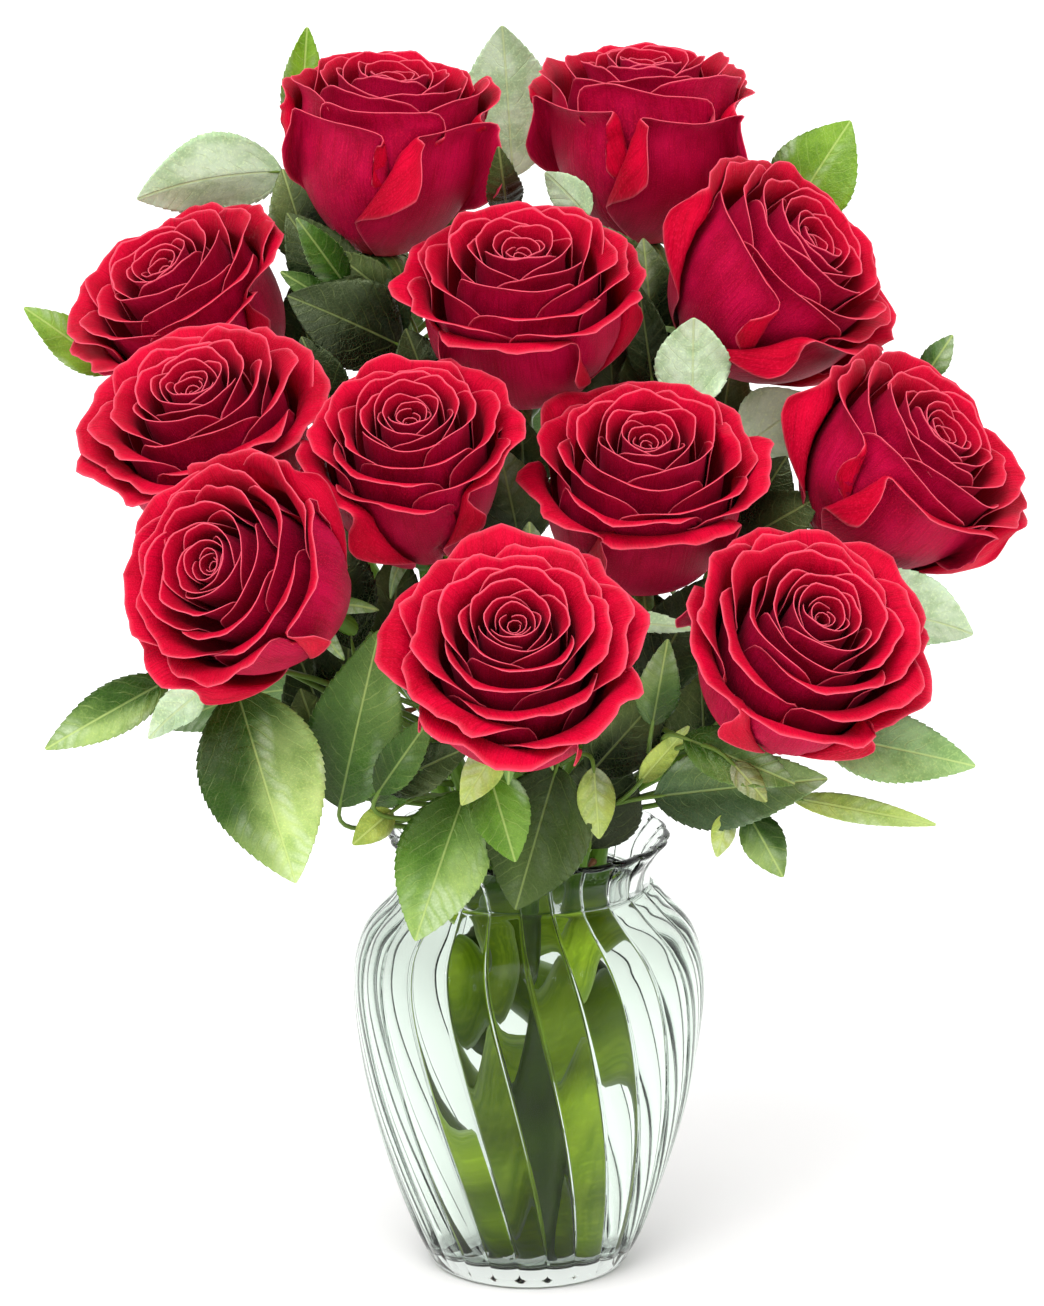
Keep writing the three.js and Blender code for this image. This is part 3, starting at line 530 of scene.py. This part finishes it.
def vase_piece():
    # Places across one rib, closest together beside its creases.
    in_rib = [-0.5, -0.49, -0.478, -0.46, -0.42, -0.34, -0.2, 0, 0.2, 0.34, 0.42, 0.46, 0.478, 0.49]
    steps = np.array([k + w for k in range(RIBS) for w in in_rib]) * 2 * np.pi / RIBS
    outer = smooth_rows(VASE_OUTER, 9)
    near = GROOVE_Z + np.array([-1.2, -0.8, -0.5, -0.25, 0, 0.25, 0.5, 0.8, 1.2])
    near = np.stack([near, np.interp(near, outer[:, 0], outer[:, 1])], -1)
    outer = np.concatenate([outer[np.abs(outer[:, 0] - GROOVE_Z) > 1.5], near])
    outer = outer[np.argsort(outer[:, 0])]
    foot = [(0, 20), (0, 34.6), (0.25, 35.7), (0.9, 36.6)]
    lip = [(MOUTH_Z + 1.3 * math.sin(f), 50.2 + 1.8 * math.cos(f)) for f in np.linspace(0.35, 2.8, 6)]
    outside = around([*foot, *outer[outer[:, 0] > 2], *lip], steps, RIB_SWIRL, lobe)
    floor = [(GLASS_FLOOR + 0.1, 29), (GLASS_FLOOR, 15)]
    inside = around([*smooth_rows(VASE_INNER, 8)[::-1], *floor], steps, RIB_SWIRL)
    skin = Skin()
    skin.turned(np.concatenate([outside, inside]))
    return skin.build("vase_glass", GLASS, "glass", "vase")


def water_piece():
    """The water reaches a little into the glass, and its edge creeps up the wall."""
    rows = [(z, r + 0.15) for z, r in smooth_rows(VASE_INNER, 8) if z < WATER_TOP]
    r_top = np.interp(WATER_TOP, *np.transpose(VASE_INNER))
    edge = [(1.2, 1.0), (0.5, 2.2), (0.15, 4), (0, 7)]
    top = [*((WATER_TOP + up, r_top - inward) for up, inward in edge), (WATER_TOP, 10)]
    bottom = [(GLASS_FLOOR - 0.1, 10), (GLASS_FLOOR - 0.1, 28)]
    skin = Skin()
    skin.turned(around([*bottom, *rows, *top], np.arange(144) * 2 * np.pi / 144))
    return skin.build("vase_water", WATER, "water", "water")


# ---------------------------------------------------------------- stems
def rose_frame(face):
    z = unit(face)
    x = unit(np.cross((0, 1, 0), z))
    return np.array([x, np.cross(z, x), z])


def stem_curve(rose, steps=26):
    """Foot, neck and the curve on to the base of the bloom."""
    heart, face, _, high, _, _, azimuth, ring = rose
    base = np.array(heart) - unit(face) * high
    at = (azimuth + STEM_TURN) * RAD
    drawn = ring * STEM_DRAW
    foot = np.array([drawn * math.cos(at) + STEM_FOOT_X, drawn * math.sin(at), STEM_FOOT_Z])
    at = azimuth * RAD
    neck = np.array([ring * math.cos(at), ring * math.sin(at), NECK_Z])
    reach = np.linalg.norm(base - neck)
    c1 = neck + unit(neck - foot) * 0.42 * reach
    c2 = base - unit(face) * 0.30 * reach
    low = [foot + (neck - foot) * s for s in np.linspace(0, 1, 12)[:-1]]
    return np.concatenate([low, cubic(neck, c1, c2, base, np.linspace(0, 1, steps))])


def plain(colour, place):
    """The point values of a bar with no veins."""
    return {"hue": linear(colour), "vein": 0.0, "under": 0.6, "blade": place}


def stem_hue(rose, points, run, tag):
    """Green, darker at the calyx, and in the water a tone between dark and bright set by the stem's place
    in the neck, in soft patches; the water tone is partly the stem's own and partly painted shade and
    light.
    """
    calyx = np.clip((run - run[-1] + 16) / 10, 0, 1)[:, None, None]
    hue = (1 - calyx) * np.array(linear(STEM_COLOUR)) + calyx * np.array(linear(CALYX_COLOUR))
    wet = np.clip((WATER_TOP + 4 - points[:, 2]) / 8, 0, 1)[:, None, None]
    # Partly painted shade and light: each stem is darker or brighter by its place round the neck.
    light = 0.5 + 0.5 * math.cos(3 * (rose[6] - 200) * RAD)
    tone = np.array(linear(WET_DARK)) * (1 - light) + np.array(linear(WET_LIGHT)) * light
    patch = 1 + 0.45 * np.sin(run / 13 + 2 * tag) * np.sin(run / 5.3 + tag)
    return hue * (1 - wet) + tone * wet * patch[:, None, None]


def sepals(skin, rose, base, axes, tag):
    """Sepals, curled down from the top of the calyx."""
    rows, cols = 12, 7
    s = np.linspace(0, 1, rows)[:, None]
    u = np.linspace(-1, 1, cols)[None, :]
    for k in range(SEPALS):
        turn = (k * 360 / SEPALS + rose[5] + 9 * wobble(tag * 5 + k)) * RAD
        curl = 0.75 + 0.35 * wobble(tag * 11 + k)
        out = 6.3 + 15 * s - 5 * s * s * curl
        down = 0.6 - 2.5 * s - 15 * s * s * curl
        half = 3.4 * (1 - s) ** 0.8 * (1 + 0.9 * s) + 0.25
        side = u * half
        out = out - 0.18 * side * side / (half + 0.6)
        local = np.stack([out * np.cos(turn) - side * np.sin(turn),
                          out * np.sin(turn) + side * np.cos(turn), down + 0 * u], -1)
        place = np.stack([side, SEPAL_LENGTH * s + 0 * u, np.full((rows, cols), k + tag * 7.0)], -1)
        skin.sheet(base + local @ axes, 0.5, {"blade": place, "vein": np.ones((rows, cols))},
                   hue=(linear(SEPAL_COLOUR), linear(CALYX_COLOUR)), under=(1.0, 0.3))


def thorns(skin, shaft, tag):
    """Thorns on the hidden middle of the stem."""
    s = np.linspace(0, 1, 5)[:, None]
    for k in range(THORNS):
        i = int(14 + 3 * k + 1.5 * wobble(tag * 3 + k))
        if i + 1 >= len(shaft):
            continue
        along = unit(shaft[i + 1] - shaft[i])
        aim = k * 2.4 + tag
        side = unit(np.cross(along, unit((math.cos(aim), math.sin(aim), 0.1))))
        path = shaft[i] + side * (STEM_R - 0.9 + THORN_LENGTH * s) - along * 1.9 * s * s
        radii = 1.5 * (1 - s[:, 0]) ** 0.8 + 0.12
        skin.tube(path, radii, 8, **plain(THORN_COLOUR, (0, 0, tag + k)))


def stem_parts(skin, rose, tag):
    """The stem with its calyx, sepals and thorns; gives back the stem's middle line."""
    path = stem_curve(rose)
    base = path[-1]
    axes = rose_frame(rose[1])
    shaft = path[np.linalg.norm(path - base, axis=1) > CALYX[0][0] + 0.5]
    n = len(shaft)
    knots = 0.11 * np.sin(np.arange(n) * 1.7 + tag) * (np.arange(n) > 0)
    points = np.concatenate([shaft, [base - axes[2] * back for back, _ in CALYX]])
    radii = np.concatenate([STEM_R - 0.45 * np.arange(n) / n + knots, [r for _, r in CALYX]])
    run = np.concatenate([[0], np.cumsum(np.linalg.norm(np.diff(points, axis=0), axis=1))])
    sides = 16
    shape = (len(run), sides)
    a = np.arange(sides) * 2 * np.pi / sides
    place = np.stack([np.broadcast_to(np.cos(a) * 4, shape),
                      np.broadcast_to(run[:, None] * 0.35, shape),
                      np.broadcast_to(np.sin(a) * 4 + tag * 9, shape)], -1)
    hue = np.broadcast_to(stem_hue(rose, points, run, tag), (*shape, 3))
    skin.tube(points, radii, sides, hue=hue, vein=0.0, under=0.5, blade=place)
    sepals(skin, rose, base, axes, tag)
    thorns(skin, shaft, tag)
    return path


# ---------------------------------------------------------------- leaves
def leaf_grid(leaf, u, v, tag):
    """The CAD's leaf surface, with a soft fold, waves and puffed panels between the veins."""
    _, _, base, tip, width, arch, kind = leaf
    base, tip = np.array(base, float), np.array(tip, float)
    along = tip - base
    length = np.linalg.norm(along)
    facing = AWAY if kind in ("pale", "back") else TOWARDS
    side = unit(np.cross(facing, along))
    up = unit(np.cross(along, side))
    shape = np.sin(np.pi * np.clip(v, 0, 1) ** 0.78) ** 0.85
    half = 0.4 + width / 2 * shape
    tooth = (v * leaf_teeth(length)) % 1
    cut = np.clip(np.abs(u) * 6 - 5, 0, 1)
    bite = (0.2 + 0.006 * length) * (0.3 if kind == "yellow" else 1)
    reach = half + cut * bite * (tooth - 0.62) * np.clip(shape * 2.2, 0, 1)
    across = u * reach
    aside = np.abs(across)
    lift = arch * 4 * v * (1 - v) + LEAF_FOLD * (np.sqrt((u * half) ** 2 + 0.8) - 0.89)
    lift = lift - 0.055 * aside**2 / (width / 2 + 4) * (1 + 0.6 * wobble(tag))
    wave = np.sin(v * (7.5 + 2 * wobble(tag + 3)) + tag) * np.sign(u) + np.cos(v * 9 - 2 * tag)
    lift = lift + 0.045 * width * np.abs(u) ** 2 * wave * shape
    run = (v * length - VEIN_SLANT * aside**VEIN_BOW) / VEIN_STEP
    lift = lift + 0.55 * (np.abs(np.sin(np.pi * run)) - 0.5) * np.clip(aside / 2, 0, 1) * shape
    curl = 0.06 * length * np.clip(v - 0.72, 0, 1) ** 1.5 * (1 + wobble(tag + 7))
    grid = base + along * v[..., None] + side * across[..., None] + up * (lift - curl)[..., None]
    place = np.stack([across, v * length, np.full(across.shape, float(tag) * 3.1)], -1)
    return grid, place


def leaf_hue(kind, tag, u, v):
    """Colour of the upper side, darker at the base and lighter outward, the lighter part partly its own
    tone and partly painted sheen on one half, and of the under side.
    """
    upper, under = LEAF_COLOURS[kind]
    tint = 1 + 0.13 * wobble(tag * 2.7)
    light = LEAF_LIGHT.get(tag, 0.15 + 0.15 * wobble(tag * 1.9))
    # outward grows towards the tip and towards one half; the lightening of that half is painted sheen.
    outward = v + 0.35 * u * np.sign(wobble(tag * 4.1)) + 0.08 * np.sin(5 * u + tag)
    share = (light * np.clip((outward - 0.3) / 0.5, 0, 1))[..., None]
    deep = (0.42 + 0.58 * np.clip(outward / 0.5, 0, 1))[..., None]
    top = np.array(linear(upper)) * tint * deep * (1 - share) + np.array(linear(LIGHT_GREEN)) * share
    return top, np.array(linear(under)) * tint


def stem_point(path, z):
    """The point of a stem's middle line at height z."""
    i = int(np.argmax(path[:, 2] >= z)) or len(path) - 1
    f = (z - path[i - 1][2]) / (path[i][2] - path[i - 1][2])
    return path[i - 1] + (path[i] - path[i - 1]) * min(1.0, f)


def leaf_parts(skin, leaf, path, tag):
    _, z, base, tip, _, _, kind = leaf
    base, tip = np.array(base, float), np.array(tip, float)
    length = np.linalg.norm(tip - base)
    teeth = leaf_teeth(length)
    v = np.array([(i + f) / teeth for i in range(teeth) for f in (0.0, 0.4, 0.8, 0.97)] + [1.0])[:, None]
    s = np.linspace(-1, 1, 15)[None, :]
    u = np.sign(s) * np.abs(s) ** 0.85
    grid, place = leaf_grid(leaf, u + 0 * v, v + 0 * u, tag)
    aside = np.abs(place[..., 0])
    thick = 0.34 + 0.75 * np.exp(-((aside / 0.7) ** 2)) * (1 - 0.7 * place[..., 1] / length)
    skin.sheet(grid, thick, {"blade": place, "vein": np.ones(aside.shape)},
               hue=leaf_hue(kind, tag, u, v), under=(0.0, 1.0))
    # The stalk bows from the stem to the base of the blade and runs into its midrib.
    start = stem_point(path, z)
    bend = base - unit(tip - base) * 0.3 * np.linalg.norm(base - start)
    bow = cubic(start, start + (bend - start) * 0.67, base + (bend - base) * 0.67, base,
                np.linspace(0, 1, 12))
    mid, _ = leaf_grid(leaf, np.zeros(3), np.array([0.03, 0.07, 0.12]), tag)
    stalk = np.concatenate([bow[:-1], mid])
    radii = np.concatenate([[1.5, 1.25], np.linspace(1.1, 0.75, len(stalk) - 4), [0.6, 0.4]])
    skin.tube(stalk, radii, 8, **plain(STALK_COLOUR, (0, 0, tag)))


# ---------------------------------------------------------------- blooms
def petal_rise(u, v):
    """Height on a petal, whose corners stay below its tip."""
    return v * (1 - SHOULDER * np.abs(u) ** 2.6)


def petal_point(rose, j, u, v):
    """Points of petal j in the frame of its bloom, its half width, and how far they lie past its
    fold. u runs -1..1 across and v 0..1 up."""
    _, _, radius, high, opened, first, _, _ = rose
    t = 1 - j / (PETALS - 1)
    seed = first * 7 + j * 3
    az = (first + j * GOLDEN + 10 * wobble(seed)) * RAD
    rise = petal_rise(u, v)
    roll = (-12 + (62 + 80 * opened) * t**0.95) * RAD * (1 + 0.16 * wobble(seed + 1))
    roll = roll if abs(roll) > 0.03 else 0.03
    lip = radius * (0.09 + 0.36 * t * (0.35 + 0.65 * opened))
    spread = 1.22 * t**1.25 / (1 + 0.22 * t**6) * (1 + 0.05 * t * wobble(seed + 5))
    edge = 2 + (radius - 2) * spread - lip / roll * (1 - math.cos(roll)) * t**0.4
    drop = (0.09 + 0.26 * opened) * radius * t**2.0
    top = high * (1 + 0.05 * math.sin(math.pi * t)) - drop - lip / roll * math.sin(roll) * 0.7 * t
    top -= 5 * max(0.0, 1 - t / 0.2)
    tall = top + 3.2 * wobble(seed + 2) * t - PETAL_BASE_Z
    foot = 3 + 4.5 * t
    s = np.minimum(1, rise / LIP_AT)
    q = 1 - s
    r1 = foot + (edge - foot) * (0.26 + 0.16 * t + 0.40 * opened * t)
    r2 = edge * (1.02 + 0.28 * np.clip(1 - 4 * t, 0, 1)) + 1.5 * (1 - t)
    rho = q**3 * foot + 3 * q * q * s * r1 + 3 * q * s * s * r2 + s**3 * edge
    z = 3 * q * q * s * 0.12 * tall + 3 * q * s * s * 0.54 * tall + s**3 * tall
    flank = np.minimum(1, np.abs(u) * 1.5) ** 1.4
    turn = roll * np.clip((rise - LIP_AT) / (1 - LIP_AT), 0, None) * (1 + t * (0.7 * flank - 0.3))
    rho = rho + lip / roll * (1 - np.cos(turn))
    z = z + lip / roll * np.sin(turn) + PETAL_BASE_Z
    half = radius * (0.34 + 0.50 * t)
    wide = half * (0.16 + 0.84 * np.sin(np.pi / 2 * np.minimum(1, rise / 0.70)) ** 1.35)
    wide = wide * (1 + 0.08 * wobble(seed + 4))
    # Side margins scroll outward beyond a fold that runs in towards the tip.
    lapel = (0.72 - 0.34 * opened) * t**3
    fold = half * (1 - lapel * np.clip((v - 0.26) / 0.62, 0, 1) ** 0.9)
    over = np.maximum(0, np.abs(u) * wide - fold)
    curl = np.maximum(radius * (0.09 + 0.05 * opened), over / 2.5)
    bend = np.maximum(2.2, rho * (1 + 0.28 * t * rise**4))
    arc = np.sign(u) * (np.minimum(np.abs(u) * wide, fold) + curl * np.sin(over / curl))
    arc = np.clip(arc / bend, -1.95, 1.95)
    twist = (0.03 + 0.12 * (1 - t)) * u * rho
    wave = 0.026 * np.sin(3.4 * u + seed) + 0.014 * rise * np.sin(7.3 * u + 1.7 * seed)
    wave = radius * t * rise**2 * wave
    margin = curl * (1 - np.cos(over / curl))
    out = rho + twist + wave + margin - bend * (1 - np.cos(arc))
    side = bend * np.sin(arc)
    z = z + radius * 0.028 * t * rise * np.cos(4.1 * u + 2 * seed)
    z = z + 0.09 * wobble(seed + 9) * side * rise**2
    az = az + 0.30 * wobble(seed + 6) * t * rise
    x = out * np.cos(az) - side * np.sin(az)
    y = out * np.sin(az) + side * np.cos(az)
    return np.stack([x, y, z], -1), wide, over


class Room:
    """How far out a petal may lie, by turn and height, so that it stays inside the outer ones."""

    TURNS, LEVELS = 90, 48
    STEP = 2.0      # mm between two levels
    FREE = 1e3      # nothing lies outside yet

    def __init__(self):
        self.free = np.full((self.TURNS, self.LEVELS), self.FREE)

    def place(self, points):
        turn = np.arctan2(points[..., 1], points[..., 0]) / (2 * np.pi) % 1 * self.TURNS
        level = np.clip(points[..., 2] / self.STEP, 0, self.LEVELS - 1.001)
        return turn, level

    def keep_in(self, points):
        """Draws points in where an outer petal lies over them, easing off beside its edge."""
        ramped = self.free.copy()
        for k in range(1, 10):
            for way in (k, -k):
                ramped = np.minimum(ramped, np.roll(self.free, way, 0) + 1.1 * k)
        turn, level = self.place(points)
        i, k = turn.astype(int), level.astype(int)
        f, g = turn - i, level - k
        i, i2 = i % self.TURNS, (i + 1) % self.TURNS
        limit = ((ramped[i, k] * (1 - f) + ramped[i2, k] * f) * (1 - g)
                 + (ramped[i, k + 1] * (1 - f) + ramped[i2, k + 1] * f) * g)
        rho = np.hypot(points[..., 0], points[..., 1])
        by = np.minimum(1, np.maximum(limit, 1.0) / np.maximum(rho, 1e-6))
        points[..., 0] *= by
        points[..., 1] *= by
        return points

    def take(self, points, gap):
        """Notes a petal's cup, so that later petals stay inside it."""
        turn, level = self.place(points)
        rho = np.hypot(points[..., 0], points[..., 1]) - gap
        fresh = np.full_like(self.free, self.FREE)
        at = (np.rint(turn).astype(int) % self.TURNS, np.rint(level).astype(int))
        np.minimum.at(fresh, at, rho)
        for axis in (0, 1):
            fresh = np.minimum(fresh, np.minimum(np.roll(fresh, 1, axis), np.roll(fresh, -1, axis)))
        self.free = np.minimum(self.free, fresh)


def bloom_piece(rose, number):
    heart, face, _, high, _, first, _, _ = rose
    axes = rose_frame(face)
    base = np.array(heart) - axes[2] * high
    skin, room = Skin(), Room()
    for j in range(PETALS):
        t = 1 - j / (PETALS - 1)
        cols, rows = (27, 21) if j < OUTER_PETALS else (29, 14)
        s, f = np.linspace(-1, 1, cols), np.linspace(0, 1, rows)
        u, v = np.meshgrid(np.sign(s) * (1 - (1 - np.abs(s)) ** 1.45), 0.04 + 0.96 * (1 - (1 - f) ** 1.5))
        seed = first * 7 + j * 3
        ruffle = np.sin(9 * u + seed) * 0.014 + np.sin(17 * u + 2 * seed) * 0.009
        tip = (0.015 + 0.05 * t * t) * np.exp(-((u / 0.2) ** 2))
        points, wide, over = petal_point(rose, j, u, v * (1 + (ruffle + tip) * v**3))
        points = room.keep_in(points)
        cup = (petal_rise(u, v) < 0.80) & (over < 1)
        room.take(points[cup], 0.7)
        edge = np.minimum((1 - v) * high, (1 - np.abs(u)) * wide)
        rim = np.exp(-((edge / 0.5) ** 2))
        thick = 0.22 + 0.30 * (1 - v) + 0.16 * (1 - rim)
        grain = np.stack([u * wide, v * high, np.full(u.shape, j * 7.3 + number * 31)], -1)
        # deep is painted shade: darker low down, more so on the inner petals, and less on the outer side
        # of the outer petals.
        deep = np.clip(1.15 + 0.2 * (1 - t) + 0.6 * (1 - t) ** 3 - 1.35 * v, 0, 1)
        # rim is the band along the petal's edge: the petal is thinner there, and its colour is painted
        # lighter as a highlight.
        both = {"grain": grain, "rim": rim * (0.7 + 0.3 * (1 - t)), "foot": np.clip(1 - v * 4, 0, 1)}
        skin.sheet(base + points @ axes, thick, both, inner=(1.0, 0.0), deep=(deep, deep * (1 - t**4)))
    tag = f"rose_{number:02d}"
    return skin.build(f"{tag}_petals", PETAL, "petal", f"{tag}_bloom")


def greenery_piece(rose, number):
    skin = Skin()
    path = stem_parts(skin, rose, number)
    for i, leaf in enumerate(LEAVES):
        if leaf[0] == number:
            leaf_parts(skin, leaf, path, i + 1)
    tag = f"rose_{number:02d}"
    return skin.build(f"{tag}_greenery", LEAF, "leaf", f"{tag}_stem")


vase_piece()
water_piece()
for number, rose in enumerate(ROSES, 1):
    bloom_piece(rose, number)
    greenery_piece(rose, number)


# ---------------------------------------------------------------- floor, light and camera
def floor_piece():
    floor = bpy.data.meshes.new("floor")
    r = 30.0
    floor.from_pydata([(-r, -r, 0), (r, -r, 0), (r, r, 0), (-r, r, 0)], [], [(0, 1, 2, 3)])
    s = Shader("floor", Roughness=0.65, Specular_IOR_Level=0.2)
    dust = s.noise(s.new("ShaderNodeTexCoord").outputs["Object"], 3.0)
    s.put(s.main.inputs["Base Color"], s.blend(dust, (0.94, 0.94, 0.935), (0.955, 0.955, 0.95)))
    floor.materials.append(s.mat)
    ground = bpy.data.objects.new("floor", floor)
    ground.location.z = -0.0002
    bpy.context.scene.collection.objects.link(ground)


def sky():
    """White light from above, a little dimmer towards the horizon."""
    world = bpy.data.worlds.new("studio")
    world.use_nodes = True
    bpy.context.scene.world = world
    tree = world.node_tree
    back = tree.nodes["Background"]
    coord = tree.nodes.new("ShaderNodeTexCoord")
    parts = tree.nodes.new("ShaderNodeSeparateXYZ")
    ramp = tree.nodes.new("ShaderNodeMapRange")
    tree.links.new(coord.outputs["Generated"], parts.inputs[0])
    tree.links.new(parts.outputs["Z"], ramp.inputs[0])
    tree.links.new(ramp.outputs[0], back.inputs["Color"])
    for i, x in enumerate((-0.1, 0.5, 0.72, 1.0)):
        ramp.inputs[i + 1].default_value = x
    back.inputs["Strength"].default_value = 1.08


def shine(light, direction, place=(0, 0, 0)):
    ob = bpy.data.objects.new(light.name, light)
    ob.location = place
    ob.rotation_euler = Vector(direction).to_track_quat("-Z", "Y").to_euler()
    bpy.context.scene.collection.objects.link(ob)


def lamps():
    """A soft sun from the left in front, and four round lamps that give the leaves their gloss."""
    sun = bpy.data.lights.new("key", "SUN")
    sun.energy, sun.angle = 2.0, 0.7
    shine(sun, (0.35, 0.75, -1.2))
    middle = Vector((0, 0, 0.28))
    for name, watts, size, place in (
        ("side", 5, 0.9, (1.6, -0.9, 1.1)), ("left", 3, 0.3, (-0.9, -1.7, 1.0)),
        ("right", 3, 0.3, (0.7, -1.6, 1.5)), ("high", 3, 0.3, (-0.3, -1.1, 2.0)),
    ):
        light = bpy.data.lights.new(name, "AREA")
        light.energy, light.size, light.shape = watts, size, "DISK"
        shine(light, middle - Vector(place), place)


def camera():
    """The photograph's view: 15 degrees above the horizon, 2.2 m away."""
    data = bpy.data.cameras.new("camera")
    data.lens = 164.6
    data.sensor_width = 36
    data.clip_end = 100
    cam = bpy.data.objects.new("camera", data)
    aim = Vector((-2.6, 0, 235.8)) * MM
    tilt, far = 15 * RAD, 2.2
    cam.location = aim + Vector((0, -math.cos(tilt), math.sin(tilt))) * far
    cam.rotation_euler = (aim - cam.location).to_track_quat("-Z", "Y").to_euler()
    bpy.context.scene.collection.objects.link(cam)
    bpy.context.scene.camera = cam


floor_piece()
sky()
lamps()
camera()
bpy.context.scene.view_settings.view_transform = "Standard"

bpy.context.view_layer.update()
